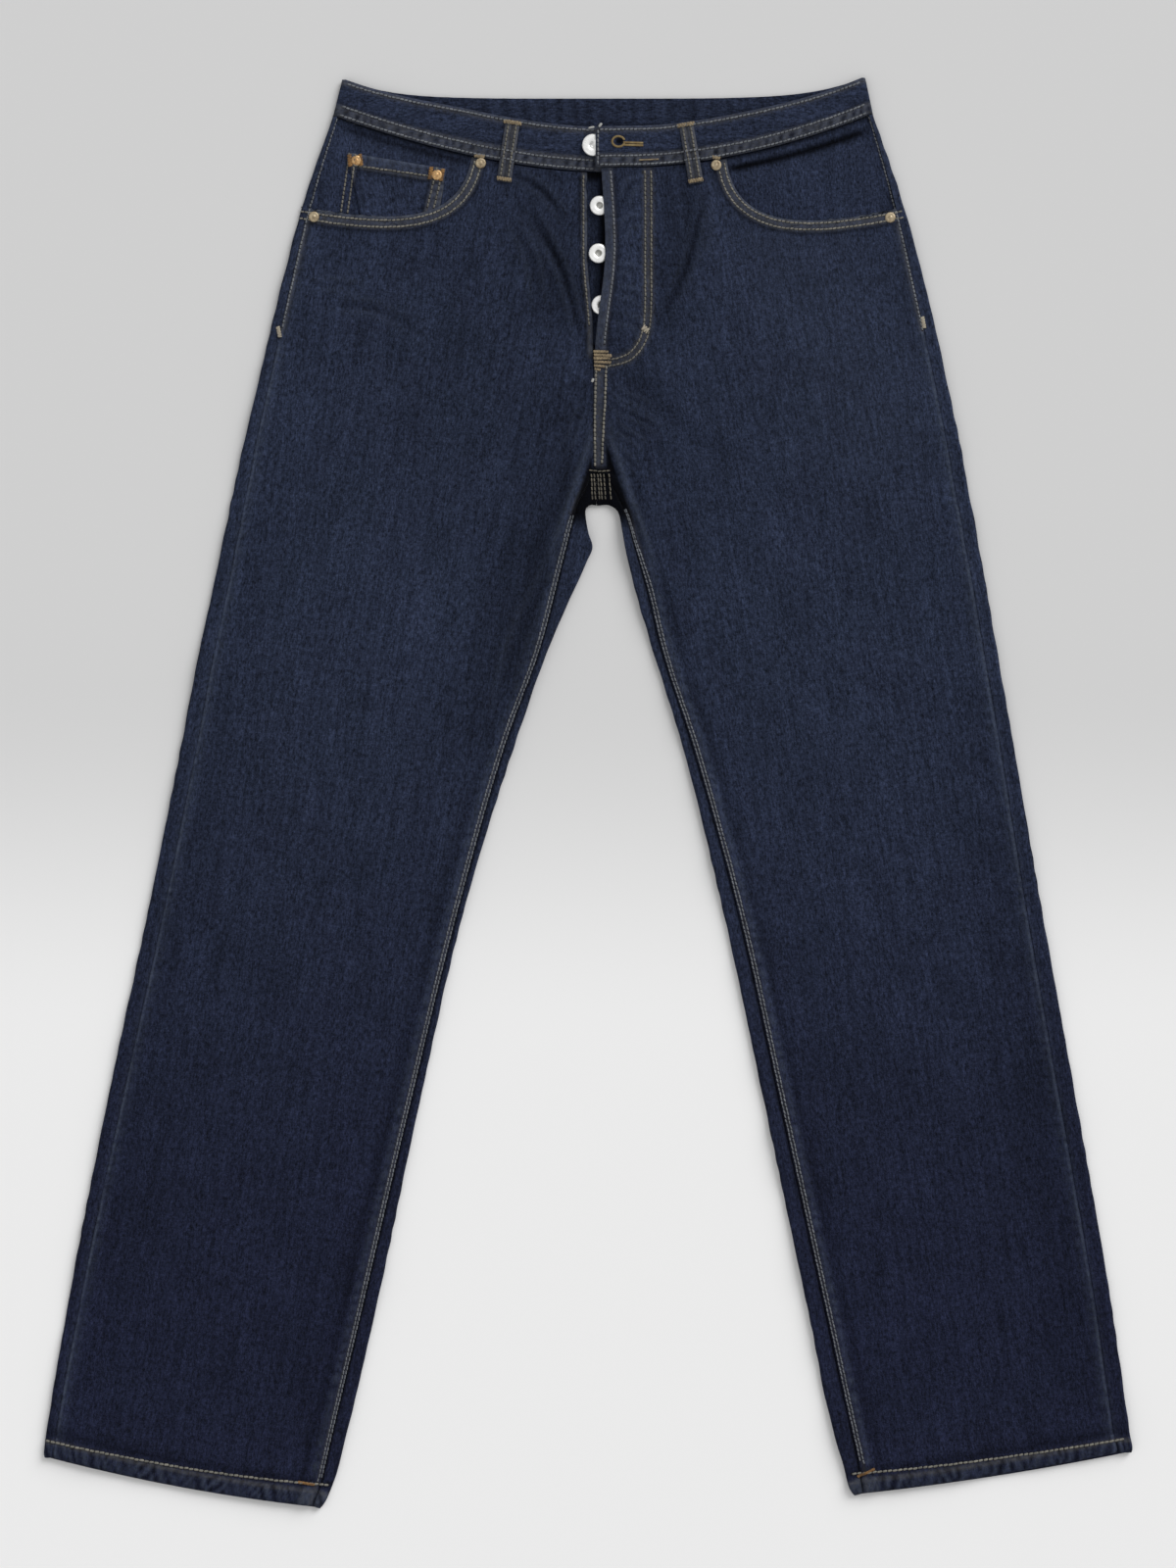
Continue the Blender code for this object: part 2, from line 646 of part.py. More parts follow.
def main():
    clear_scene()
    jeans = new_collection("baggy_jeans")
    cutters = new_collection("cutters")
    denim = material("denim", (0.018, 0.023, 0.045), 0.92)
    inside = material("denim_facing", (0.021, 0.026, 0.048), 0.93)
    silver = material("button_metal", (0.75, 0.76, 0.76), 0.25, 1.0)
    copper = material("rivet_metal", (0.55, 0.27, 0.14), 0.35, 1.0)

    for side in ("right", "left"):
        build_back(side, denim, jeans)
        build_front(side, denim, jeans, cutters)
        build_facing(side, inside, jeans)
        build_loop(side, denim, jeans)
    build_band(denim, jeans)
    build_coin_pocket(denim, jeans)
    build_button_stand(inside, jeans)

    seat = BAND_TOP + SEAM_GAP
    turned("waist_button", button_profile(WAIST_BUTTON_RADIUS), WAIST_BUTTON_AT, seat, silver, jeans)
    seat = LEG_TOP - DENIM
    for number, place in enumerate(FLY_BUTTONS_AT, start=1):
        turned(f"fly_button_{number}", button_profile(FLY_BUTTON_RADIUS), place, seat, silver, jeans)
    for name, place in RIVETS.items():
        turned(name, rivet_profile(), place, LEG_TOP + SEAM_GAP, copper, jeans)


if __name__ == "__main__":
    main()
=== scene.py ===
"""Baggy jeans laid flat: finished cloth, sewing and metal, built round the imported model.

Points and sizes are in millimetres, with +Y towards the waist and +X towards the wearer's left, and MM
turns them into metres as they go into a mesh. The stage and the settings are in metres.
"""

import math
from collections import namedtuple

import bmesh
import bpy
import numpy as np
from bpy.props import FloatProperty, FloatVectorProperty, PointerProperty
from mathutils import Matrix, Vector
from mathutils.bvhtree import BVHTree


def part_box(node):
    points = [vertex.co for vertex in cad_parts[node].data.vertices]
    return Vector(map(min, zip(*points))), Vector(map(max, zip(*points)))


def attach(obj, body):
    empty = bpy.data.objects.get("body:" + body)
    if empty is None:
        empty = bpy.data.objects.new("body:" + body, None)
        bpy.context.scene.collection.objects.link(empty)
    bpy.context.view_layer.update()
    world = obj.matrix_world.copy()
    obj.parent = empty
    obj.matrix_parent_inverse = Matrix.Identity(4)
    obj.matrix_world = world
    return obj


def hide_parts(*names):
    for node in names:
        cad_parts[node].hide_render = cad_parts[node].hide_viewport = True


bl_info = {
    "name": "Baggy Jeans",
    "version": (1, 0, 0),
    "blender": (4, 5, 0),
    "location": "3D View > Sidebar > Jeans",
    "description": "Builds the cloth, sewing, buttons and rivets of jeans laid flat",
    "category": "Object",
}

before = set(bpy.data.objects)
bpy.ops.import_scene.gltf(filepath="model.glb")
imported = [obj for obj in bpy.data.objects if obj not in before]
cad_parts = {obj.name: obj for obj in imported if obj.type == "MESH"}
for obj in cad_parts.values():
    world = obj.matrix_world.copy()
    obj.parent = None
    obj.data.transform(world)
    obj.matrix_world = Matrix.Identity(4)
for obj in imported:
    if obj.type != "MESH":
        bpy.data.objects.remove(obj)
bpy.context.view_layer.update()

MM = 0.001

# Heights and widths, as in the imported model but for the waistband's depth at the front
LEG_TOP = 5.2
BAND_TOP = 5.6
LEG_FOLD = 2.6
BAND_FOLD = 2.8
SEAM_GAP = 0.3
CENTRE_X = 6.5
BAND_DEPTH_SIDE = 28.2
FRONT_BAND_DEPTH = {"right": 34.2, "left": 31.2}
BACK_BAND_DEPTH = 29.5
BAND_SLANT = {"right": 7, "left": -6}
BAND_END = {"right": 19.5, "left": 5.8}
FRONT_WAIST_CURVE = {"right": 1.8, "left": 2.1}
BACK_WAIST_CURVE = 5
FLY_RAISED_TO = 24
FLY_DOWN_BY = 50
FLY_BOTTOM = 322
FLY_RAMP = 30
FLY_RISE = 4.9
BAND_RAISED_TO = 16
BAND_DOWN_BY = 62
BAND_RISE = 6.6
OUTWARD = {"right": -1, "left": 1}
# How far a front's middle hangs below its ends at the waist, and the least width of a back's lip
# beyond its fold
WAIST_BOW = 2.1
LIP_LEAST = 0.8

# A section across one leg: outseam fold, width of back panel that shows inside it, inseam fold or
# centre back, the front's inner edge, and how far the middle hangs below the ends.
Section = namedtuple("Section", "out_x out_y lip in_x in_y seam_x seam_y bow")

# The row of the tables at which the crotch begins
CROTCH_ROW = 5
LEGS = {
    "right": [Section(*row) for row in (
        (-195, 517, 2.5, 6.5, 501.5, -0.5, 474.5, 0),
        (-216, 457, 5, 6.5, 418, -0.5, 416, 0),
        (-236, 382, 7.5, 6.5, 344.5, 4.2, 346, 0),
        (-257, 293.5, 8.8, 6.5, 266, 4.2, 277, 0),
        (-265, 260, 9.6, 6.5, 238, 4.2, 262, 0),
        (-270, 236.5, 10.4, 6.5, 220.5, 6.5, 245.5, 0),
        (-273, 223, 10.4, 0.5, 220, 2, 241, 0),
        (-275, 212.5, 10.4, -2, 215, -2, 232, 0),
        (-277.5, 200.5, 10.8, 0, 200.5, -7.5, 221.5, 0),
        (-280.5, 187, 10.8, 3.5, 188, -12, 205, 0),
        (-283, 175, 11.2, -1, 176.5, -16, 188.5, 0),
        (-287, 155.5, 11.2, -10, 157, -23, 160, 0),
        (-295, 119.5, 11.6, -26.5, 119.5, -33.4, 119.5, 0),
        (-311, 37, 12, -56, 37, -61.9, 39.5, 0),
        (-335, -83, 12, -94, -86.5, -97.9, -86, 0),
        (-367, -233, 11.2, -130, -242.5, -136.9, -244, 0),
        (-398, -392.5, 8.8, -165, -407, -175.9, -410, 1),
        (-413.5, -485, 7.6, -189.5, -509.5, -200.5, -514, 3),
        (-414.5, -492, 7.6, -192, -519, -202.5, -523, 3.5),
        (-417, -508, 7.6, -202, -547, -210.5, -545, 4),
    )],
    "left": [Section(*row) for row in (
        (218, 518.5, 2.5, 6.5, 501.5, 10, 477.5, 0),
        (239, 457, 6, 6.5, 418, 13, 418, 0),
        (259.5, 382, 9, 6.5, 344.5, 5.5, 344.5, 0),
        (279, 293.5, 10, 6.5, 266, 4.2, 277, 0),
        (286, 260, 10.4, 6.5, 238, 4.2, 262, 0),
        (290, 236.5, 10.4, 6.5, 220.5, 6.5, 245.5, 0),
        (292.5, 223, 10.4, 16.5, 220, 13, 242, 0),
        (295, 212.5, 10.4, 23, 215, 18, 235, 0),
        (297, 200.5, 10.4, 26, 201.5, 24, 224, 0),
        (299, 187, 10.4, 28.5, 187, 30, 209, 0),
        (301.5, 175, 10.4, 31, 176, 35, 190, 0),
        (305, 155.5, 10.4, 36, 155.5, 43, 161.5, 0),
        (311, 119.5, 10.4, 46.5, 119.5, 53, 119.5, 0),
        (325.5, 37, 10.8, 72, 37, 79, 37, 0),
        (346, -83, 12, 102.5, -86.5, 113, -86.5, 0),
        (373, -233, 12.8, 135.5, -240.5, 147, -240.5, 0),
        (400.5, -392.5, 12.8, 169.5, -401.5, 182, -401.5, 1),
        (413, -480, 12.8, 191, -500, 203.5, -500, 2),
        (414, -487, 12.8, 194, -510, 205.5, -509, 2.2),
        (417, -504, 11.9, 201, -537, 210, -535, 2.5),
    )],
}

# A crease runs between two points: a trough with a soft ridge on each side
Crease = namedtuple("Crease", "x0 y0 x1 y1 width height")
# Creases narrower than this have a trough in deeper painted shade, and painted highlights on the ridges
# beside it
FINE_CREASE = 8

CREASES = [Crease(*row) for row in (
    (-58, 470, 2, 350, 10, 1.6),
    (84, 472, 56, 350, 11, 1.8),
    (14, 316, 126, 250, 13, 1.3),
    (-206, 380, -120, 352, 11, 1.4),
    (-6, 268, -76, 50, 15, 2.2),
    (16, 270, 66, 120, 13, 2),
)]
# Finer pulls in the cloth, round the fly, the crotch and the hip
PULLS = [Crease(*row) for row in (
    (-60, 480, -16, 440, 4.4, 1.7),
    (-43, 452, -2, 346, 4.6, 2),
    (-57, 442, -33, 370, 5, 0.8),
    (94, 462, 57, 356, 4.4, 2),
    (95, 453, 83, 410, 3.6, 0.8),
    (17.5, 312, 50, 291, 3, 0.7),
    (16, 301, 56, 275, 3.2, 0.9),
    (16, 288, 46, 260, 3.2, 0.8),
    (17, 273, 38, 244, 3, 0.7),
    (-1, 296, -20, 262, 3.2, 0.6),
    (-197, 378, -133, 359, 4.6, 1.1),
    (-214, 392, -170, 384, 4, 0.7),
    (-20, 203, -71, 56, 7, 0.9),
    (24, 366, 43, 352, 4, 0.9),
    (20, 386, 42, 376, 4, 0.8),
    (19, 404, 36, 396, 3.6, 0.6),
    (24, 452, 42, 470, 4.4, 0.8),
    (22, 428, 43, 440, 4.4, 0.7),
    (120, 300, 200, 286, 9, 0.7),
    (-180, 296, -90, 284, 9, 0.7),
)]
# Broad strips of painted shade, or of painted light where the depth is below 0
Tone = namedtuple("Tone", "x0 y0 x1 y1 width depth")

PAINTED_SHADING = [Tone(*row) for row in (
    (68, 472, 66, 360, 15, 0.25),
    (-38, 496, -28, 380, 26, 0.28),
    (-110, 400, -92, 300, 40, 0.13),
    (-16, 285, -84, 50, 32, 0.30),
    (30, 330, 62, 170, 26, 0.14),
    (290, 60, 345, -230, 30, 0.13),
    (345, -230, 382, -450, 30, 0.20),
    (-250, 200, -360, -300, 26, 0.10),
    (-200, -430, -180, -540, 40, 0.10),
    (150, 420, 220, 290, 60, -0.09),
)]
# The crotch lies sunk between the fronts: its edges at one height, and how they spread downwards
CrotchHollow = namedtuple("CrotchHollow", "top left right left_spread right_spread depth ridge")
CROTCH = CrotchHollow(
    top=270, left=6.5, right=13.5, left_spread=0.35, right_spread=0.35, depth=2.6, ridge=1.9)
RISE_SEAM_X = 8.4

# A pocket mouth from the outseam to the waist, as the four points of a curve with two handles
POCKET_MOUTHS = {
    "right": [(-224, 448.5), (-150, 436), (-97, 433), (-89, 486.6)],
    "left": [(244, 448), (172, 432), (112, 428), (106, 484.8)],
}
# The place down the leg at which each mouth starts, and the seed of each leg's puckers
MOUTH_PLACE = {"right": -448, "left": -447.5}
SEAM_SEED = {"right": 3, "left": 2}

Loop = namedtuple("Loop", "top_x top_y foot_x foot_y")
BELT_LOOPS = {
    "right": Loop(-57.4, 514, -64.3, 467),
    "left": Loop(74.6, 512.4, 82.7, 466),
}

# The coin pocket's corners, the part of the mouth that covers its foot, and its rows and hems
COIN_CORNERS = np.array(((-184.5, 490), (-108.5, 477.5), (-116, 446.5), (-190.8, 444.5)))
COIN_MOUTH = (0.25, 0.63)
COIN_ROWS_AT = (2, 7)
COIN_BAND = 8.4
# Half a belt loop's width, and its rows of stitches from its middle
LOOP_HALF = 5.6
LOOP_ROW = 3
# The height below which the button stand narrows
STAND_TAPER = 361
# The eye of the buttonhole, the end of its cut, the stitches round the eye and the step along the cut
BUTTONHOLE = {
    "eye": (23.2, 497.2), "radius_x": 4.7, "radius_y": 4, "end": 42, "radial": 38, "pitch": 0.62}
# Bar tacks apart from those on the belt loops: where each starts and stops, and its width
TACKS = (
    ((4.2, 337.4), (15.5, 337), 2.2),
    ((4.6, 335), (18, 334.2), 2.6),
    ((4.4, 332.2), (17, 332.6), 2.6),
    ((4.8, 329.6), (17.5, 329), 2.4),
    ((4.6, 326.8), (13, 326), 2.2),
    ((5, 324.2), (9.5, 323.4), 2),
    ((-86.8, 487.4), (-79, 486.6), 3),
    ((95, 486.2), (103, 485.4), 3),
    ((39, 483.4), (54, 484.4), 1.2),
)
PALE_TACKS = (
    ((41.9, 356.2), (45.6, 352.8), 4.8),
    ((-237, 356.5), (-235.3, 348.5), 3.2),
    ((255.5, 364), (257, 355.5), 3.2),
)
RUST_TACKS = (
    ((-182.4, 488), (-181.6, 479), 3.6),
    ((-174.4, 488.4), (-173.2, 479.6), 3.2),
    ((-110.8, 477), (-112.6, 468), 3.4),
    ((-119.6, 478.6), (-121, 469.4), 3.4),
    ((-221.5, -526.4), (-209, -528.4), 2.2),
    ((206, -522.2), (219, -516.2), 2.2),
)
# Height in metres from which the highest cloth is looked for
ABOVE_ALL = 0.05
# Loose ends of thread: middle, direction, length, width and height
THREAD_ENDS = (
    ((9.4, 509.6, 12.4), (0.8, 1, 0), 3.8, 2.2, 1.2),
    ((2.6, 508.4, 7.4), (1, 0.2, 0), 5, 1.8, 1.2),
    ((3.6, 315.5, 5.9), (0.4, 1, 0), 3.2, 2.2, 1.5),
)

# The double row of stitches that closes the fly, as points on its outer row, and how far apart they are
J_STITCH = [
    (48.2, 476), (48.4, 440), (48.3, 400), (48.2, 372), (47.2, 357), (44.6, 347), (39.6, 338),
    (32, 331), (24, 328), (15, 326.5)]
ROW_APART = 4.7
# The fly's lower end, and the rows beside the edges of the fly and of the button stand's front
FLY_END = 336
FLY_EDGE_ROW = 7.2
STAND_ROW = 3

# Rows and columns of points in the finished cloth
MOUTH_ROWS = 48
FRONT_COLUMNS = 100
BAND_COLUMNS = 26
FACING_COLUMNS = 70
# Distances between rows down the legs, and how far the closer rows reach from mouth, crotch and hem
MOUTH_STEP = 1.4
HIP_STEP = 3.2
CROTCH_STEP = 1.9
LEG_STEP = 3.5
HEM_STEP = 1.2
MOUTH_REACH = 27
CROTCH_REACH_UP = 30
CROTCH_REACH = 66
HEM_REACH = 16
# Length of the rounded corners of the hems
HEM_CORNER = 6
# Distances of stitched rows from the edges they follow, the widths that they hold and where they end
MOUTH_ROWS_AT = {"right": (3, 8.2), "left": (2.2, 7)}
MOUTH_BAND = {"right": 9.6, "left": 8.4}
HEM_ROW = {"right": 12, "left": 9.8}
SIDE_ROW = 0.9
SIDE_GAP = 0.03
INSEAM_ROW = {"right": 2.6, "left": 3.4}
SIDE_ROW_END = 352
WAIST_ROW_ENDS = {"right": 0.928, "left": 0.985}
# Width across the waistband that its seams are drawn to
BAND_WIDE = 30
# Rows of stitches along the waistband: up from its lower edge, or down from its upper one if negative
BAND_ROWS = (-2.8, 1.8, 8.4)
# How far a pocket facing and the coin pocket reach below the mouth's edge
FACING_BELOW_MOUTH = 9
COIN_BELOW_MOUTH = 3
# How far below the waistband each facing sags, and how much; the same amount sets how dark the painted
# shade in the sag is
FACING_SAG = {"right": (4, 0.6), "left": (8.2, 1)}

# How the grain turns, and the thickness in metres of sheets that differ from the denim
LEG_GRAIN = math.radians(-9)
FACING_GRAIN = math.radians(-4)
BAND_CLOTH = 0.002
COIN_CLOTH = 0.001
LOOP_CLOTH = 0.0013
# A fly button's dimple as a share of its radius
DIMPLE = 0.34

# The stage in metres: suns with their place, angle in degrees and strength, the ground and the camera
LIGHTS = (
    ("key", (1.9, 2.3, 1.8), 40, 2.6),
    ("fill", (-1.6, -1.6, 2.4), 50, 0.25),
)
WORLD_LIGHT = 0.62
# The ground's colour far from the hems and near them, a painted light gradient
FLOOR_FAR = (0.565, 0.565, 0.565)
FLOOR_NEAR = (0.748, 0.748, 0.748)
FLOOR_HALF = 4
FLOOR_BELOW = 0.0002
CAMERA_HEIGHT = 3.5
CAMERA_Y = 0.0071
PICTURE_LONG = 1.2
SENSOR = 36


# Curves and small maths

def ease(value):
    """0 below 0, 1 above 1 and an even S between."""
    t = np.clip(value, 0, 1)
    return t * t * (3 - 2 * t)


def bell(distance, width):
    return np.exp(-(distance / width) ** 2)


def mix(a, b, t):
    return a + (b - a) * t


def smooth_curve(keys, values, at):
    """Values on the smooth curve through values set at rising keys."""
    keys = np.asarray(keys, float)
    values = np.asarray(values, float)
    widths = np.diff(keys)
    slopes = np.diff(values) / widths
    tangents = np.empty_like(values)
    tangents[0] = slopes[0]
    tangents[-1] = slopes[-1]
    middle = (slopes[:-1] * widths[1:] + slopes[1:] * widths[:-1]) / (widths[:-1] + widths[1:])
    tangents[1:-1] = np.where(slopes[:-1] * slopes[1:] <= 0, 0, middle)
    span = np.clip(np.searchsorted(keys, at, side="right") - 1, 0, len(keys) - 2)
    t = (at - keys[span]) / widths[span]
    rise = values[span + 1] - values[span]
    left = tangents[span] * widths[span] - rise
    right = rise - tangents[span + 1] * widths[span]
    return mix(values[span], values[span + 1], t) + t * (1 - t) * (left * (1 - t) + right * t)


def leg_at(side, places):
    """Sections at places down the leg, a place being minus its outseam's Y."""
    table = np.array(LEGS[side])
    part = Section(*(smooth_curve(-table[:, 1], column, places) for column in table.T))
    rounding = np.clip((places + table[-1, 1] + HEM_CORNER) / HEM_CORNER, 0, 1) ** 2.5
    in_x = part.in_x + OUTWARD[side] * 2.6 * rounding
    return part._replace(out_x=part.out_x - OUTWARD[side] * 1.2 * rounding, in_x=in_x)


def mouth_curve(side, t):
    """Points of a pocket mouth from the outseam, at t = 0, to the waist, and the way out of it."""
    a, b, c, d = np.array(POCKET_MOUTHS[side])
    t = np.asarray(t)[:, None]
    s = 1 - t
    points = a * s ** 3 + b * 3 * s * s * t + c * 3 * s * t * t + d * t ** 3
    slopes = (b - a) * s * s + (c - b) * 2 * s * t + (d - c) * t * t
    normals = np.column_stack((slopes[:, 1], -slopes[:, 0])) * -OUTWARD[side]
    return points, normals / np.linalg.norm(normals, axis=1)[:, None]


def distance_to(path, x, y):
    """Distance from points to a path, and how far along the path the nearest place is."""
    path = np.asarray(path, float)
    nearest = np.full(x.shape, np.inf)
    along = np.zeros(x.shape)
    run = 0
    for start, stop in zip(path, path[1:]):
        step = stop - start
        length = float(np.linalg.norm(step))
        t = np.clip(((x - start[0]) * step[0] + (y - start[1]) * step[1]) / length ** 2, 0, 1)
        away = np.hypot(x - start[0] - t * step[0], y - start[1] - t * step[1])
        along = np.where(away < nearest, run + t * length, along)
        nearest = np.minimum(nearest, away)
        run += length
    return nearest, along


def run_along(path):
    """Distance along a path at each of its points."""
    return np.concatenate(([0], np.cumsum(np.linalg.norm(np.diff(path, axis=0), axis=1))))


def curve_through(points, count=60):
    """Smooth path through a few points."""
    points = np.asarray(points, float)
    run = run_along(points)
    at = np.linspace(0, run[-1], count)
    return np.column_stack([smooth_curve(run, points[:, k], at) for k in (0, 1)])


def offset_line(path, distance):
    """The path moved sideways, to the left of its direction."""
    path = np.asarray(path, float)
    slope = np.gradient(path, axis=0)
    normal = np.column_stack((-slope[:, 1], slope[:, 0])) / np.linalg.norm(slope, axis=1)[:, None]
    return path + normal * distance


def fly_rows():
    """The two rows of the fly's J-shaped stitching."""
    outer = curve_through(J_STITCH, 80)
    return outer, offset_line(outer, -ROW_APART)


def wave(along, seed):
    """Uneven ripple between -1 and 1 along a seam, about 9 mm from crest to crest."""
    bend = 1.9 * np.sin(math.tau * along / 41 + seed)
    size = 0.65 + 0.35 * np.sin(math.tau * along / 67 + 1.3 * seed)
    return np.sin(math.tau * along / 9.3 + bend + 2.1 * seed) * size


def rope(along, across, seed):
    """Slanting ripple of a turned-up hem that has twisted a little."""
    bend = 1.1 * np.sin(math.tau * along / 53 + seed)
    return np.sin(math.tau * (along / 10.5 + across / 17) + bend)


# Height of the cloth that lies on top

def folds(creases, x, y):
    """Height of creases, the painted shade in their troughs and the painted highlights on the ridges
    beside them.
    """
    height = np.zeros_like(x)
    shade = np.zeros_like(x)
    light = np.zeros_like(x)
    for crease in creases:
        fine = crease.width < FINE_CREASE
        deep = crease.height * (0.36 if fine else 0.15)
        run_x = crease.x1 - crease.x0
        run_y = crease.y1 - crease.y0
        length = math.hypot(run_x, run_y)
        along = ((x - crease.x0) * run_x + (y - crease.y0) * run_y) / length ** 2
        across = ((x - crease.x0) * run_y - (y - crease.y0) * run_x) / length / crease.width
        across = across + 0.5 * np.sin(math.tau * along + crease.width)
        inside = np.clip(along, 0, 1)
        fade = (4 * inside * (1 - inside)) ** 0.7
        height += crease.height * fade * across ** 2 * np.exp(1 - across ** 2)
        shade = np.maximum(shade, deep * fade * bell(across, 0.5))
        if fine:
            light = np.maximum(light, 0.2 * fade * bell(np.abs(across) - 1.1, 0.42))
    return height, shade, light


def slack_height(x, y):
    """Low uneven swells of cloth that nothing pulls flat."""
    swells = ((0.55, 151, 0.35, 0.4), (0.40, 97, 1.20, 2.1), (0.30, 63, 2.30, 0.9),
              (0.20, 41, 0.80, 3.7), (0.12, 27, 1.75, 5.2), (0.08, 17, 2.80, 1.6))
    height = np.zeros_like(x)
    for size, length, turn, start in swells:
        along = x * math.cos(turn) + y * math.sin(turn)
        across = y * math.cos(turn) - x * math.sin(turn)
        bend = 0.9 * np.sin(math.tau * across / (length * 1.7) + start)
        height += size * np.sin(math.tau * along / length + start + bend)
    return height


def crotch_hollow(x, y):
    """Height and painted shade of the sunk crotch, and the painted highlights on the ridges beside it."""
    down = np.maximum(CROTCH.top - y, 0)
    left = CROTCH.left - down * CROTCH.left_spread
    right = CROTCH.right + down * CROTCH.right_spread
    open_share = ease((CROTCH.top + 4 - y) / 14) * ease((y - 196) / 18)
    sunk = open_share * ease((x - left + 1.5) / 3.5) * ease((right + 1.5 - x) / 3.5)
    ridge_share = ease((CROTCH.top + 24 - y) / 40) * ease((y - 160) / 50)
    ridge = ridge_share * (bell(x - left + 5, 2.8) + bell(x - right - 4.2, 2.6))
    seam = (1 - ease((np.abs(x - RISE_SEAM_X) - 4.6) / 2)) * ease((y - 247) / 6)
    return CROTCH.ridge * ridge - CROTCH.depth * sunk, sunk * (1 - 0.8 * seam), 0.55 * ridge


def top_height(x, y):
    """Height of the cloth that lies on top, its painted shade and its painted highlights."""
    height, shade, light = folds(CREASES + PULLS, x, y)
    hollow, dark, ridge = crotch_hollow(x, y)
    # Strips of painted shade, and of painted light where the depth is below 0
    for tone in PAINTED_SHADING:
        away, _ = distance_to([(tone.x0, tone.y0), (tone.x1, tone.y1)], x, y)
        amount = tone.depth * bell(away, tone.width)
        shade = shade + np.maximum(amount, 0) * (1 - shade)
        light = np.maximum(light, -amount)
    height = LEG_TOP + height + slack_height(x, y) + hollow
    return height, np.maximum(shade, dark), np.maximum(light, ridge)


def fly_rise(x, y):
    across = 1 - ease((x - FLY_RAISED_TO) / (FLY_DOWN_BY - FLY_RAISED_TO))
    return FLY_RISE * across * ease((y - FLY_BOTTOM) / FLY_RAMP)


def band_rise(x):
    return BAND_RISE * (1 - ease((x - BAND_RAISED_TO) / (BAND_DOWN_BY - BAND_RAISED_TO)))


# Meshes

def mesh_from(bm, name):
    """The smooth mesh of a bmesh that is ready."""
    mesh = bpy.data.meshes.new(name)
    bm.to_mesh(mesh)
    bm.free()
    mesh.shade_smooth()
    return mesh


def add_object(name, data):
    """A new object in the scene."""
    made = bpy.data.objects.new(name, data)
    bpy.context.scene.collection.objects.link(made)
    return made


def sheet_mesh(name, points, marks, flip=False, unused=None):
    """A grid shaped to rows of points. Its vertices keep the marks for the finish to read."""
    rows, columns = points.shape[:2]
    bm = bmesh.new()
    bmesh.ops.create_grid(bm, x_segments=columns - 1, y_segments=rows - 1, size=1)
    layer = bm.verts.layers.float_color.new("marks")
    spare = []
    for vert in bm.verts:
        i = round((vert.co.x + 1) / 2 * (columns - 1))
        j = round((1 - vert.co.y) / 2 * (rows - 1))
        vert.co = points[j, i] * MM
        vert[layer] = (*marks[j, i], 1)
        if unused is not None and unused[j, i]:
            spare.append(vert)
    bmesh.ops.delete(bm, geom=spare, context="VERTS")
    if flip:
        bmesh.ops.reverse_faces(bm, faces=bm.faces)
    return mesh_from(bm, name)


def add_piece(name, mesh, finish, replaced=()):
    """Put a finished piece in the scene, riding on the jeans' one body."""
    piece = add_object(name, mesh)
    mesh.materials.append(finish)
    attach(piece, "root")
    for node in replaced:
        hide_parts(node)
    return piece


def thicken(piece, thickness):
    wall = piece.modifiers.new("Cloth", "SOLIDIFY")
    wall.thickness = thickness
    wall.offset = -1  # inwards, so that the points stay on the outside
    wall.use_even_offset = False
    return piece


class Relief:
    """What seams do to a sheet: extra height, and at each point its marks: wear with painted highlight,
    seaming, and painted shade.
    """

    def __init__(self, shape):
        self.height = np.zeros(shape)
        self.marks = np.zeros((*shape, 3))

    def add(self, height=0, rubbed=0, seamed=0, shaded=0, where=1):
        self.height = self.height + height * where
        for k, mark in enumerate((rubbed, seamed, shaded)):
            self.marks[..., k] = np.maximum(self.marks[..., k], np.clip(mark * where, 0, 1))


def row_dip(away, at):
    """The dip that a row of stitches pulls in the cloth."""
    return -0.3 * bell(away - at, 0.9)


def fell_seam(relief, along, away, seed, row, where=1):
    """Long inner leg seam: a groove, the thick ridge of turned cloth beside it and puckers beyond, with
    painted shade in the groove and the valley past the ridge.
    """
    ripple = wave(along, seed)
    height = bell(away - 6, 3.8) - 0.9 * bell(away, 1.1) + row_dip(away, row)
    height = height + 0.34 * ripple * np.exp(-away / 9) - 0.45 * bell(away - 17, 5)
    relief.add(
        height=height,
        rubbed=(0.26 + 0.3 * ripple) * bell(away - row - 4.4, 2.6),
        seamed=0.6 * bell(away - row, 1.5),
        shaded=np.maximum(0.55 * bell(away, 1.3), 0.3 * bell(away - 15, 4)),
        where=where,
    )


def side_seam(relief, along, away, seed, stitched, where=1):
    """Outer leg seam: a faint groove with a puckered ridge, stitched only from the waist to the hip, with
    painted shade in the groove and beside the stitched part.
    """
    ripple = wave(along, seed)
    dashes = wave(along * 2.1, seed + 4)
    relief.add(
        height=0.3 * bell(away - 3, 3) + 0.25 * ripple * np.exp(-away / 8),
        rubbed=(0.62 + 0.42 * dashes) * bell(away - 1.4, 1.1)
        + (0.14 + 0.14 * ripple) * bell(away - 4.4, 3.2),
        seamed=0.8 * stitched * bell(away - SIDE_ROW, 2.4),
        shaded=0.14 * bell(away + 0.3, 1.2) + 0.3 * stitched * bell(away - 4.4, 1.4),
        where=where,
    )


def bound_edge(relief, along, away, seed, rows, width, where=1, plain=0.58):
    """Turned and stitched edge: a flat band of double cloth with rows of stitches along it, and painted
    shade just beyond the band.
    """
    ripple = wave(along, seed)
    band = 1 - ease((away - width) / 1.6)
    height = 0.45 * band - 1.1 * bell(away, 1.2) + 0.22 * ripple * band
    seamed = plain * band
    for row in rows:
        height = height + row_dip(away, row)
        seamed = np.maximum(seamed, 0.95 * bell(away - row, 1.7))
    relief.add(
        height=height + 0.22 * ripple * np.exp(-np.maximum(away - width, 0) / 7) * (1 - band),
        rubbed=(0.45 + 0.35 * ripple) * bell(away - 0.7, 1.3) + (0.2 + 0.14 * ripple) * band,
        seamed=seamed,
        shaded=0.55 * bell(away - width - 1.6, 1.6),
        where=where,
    )


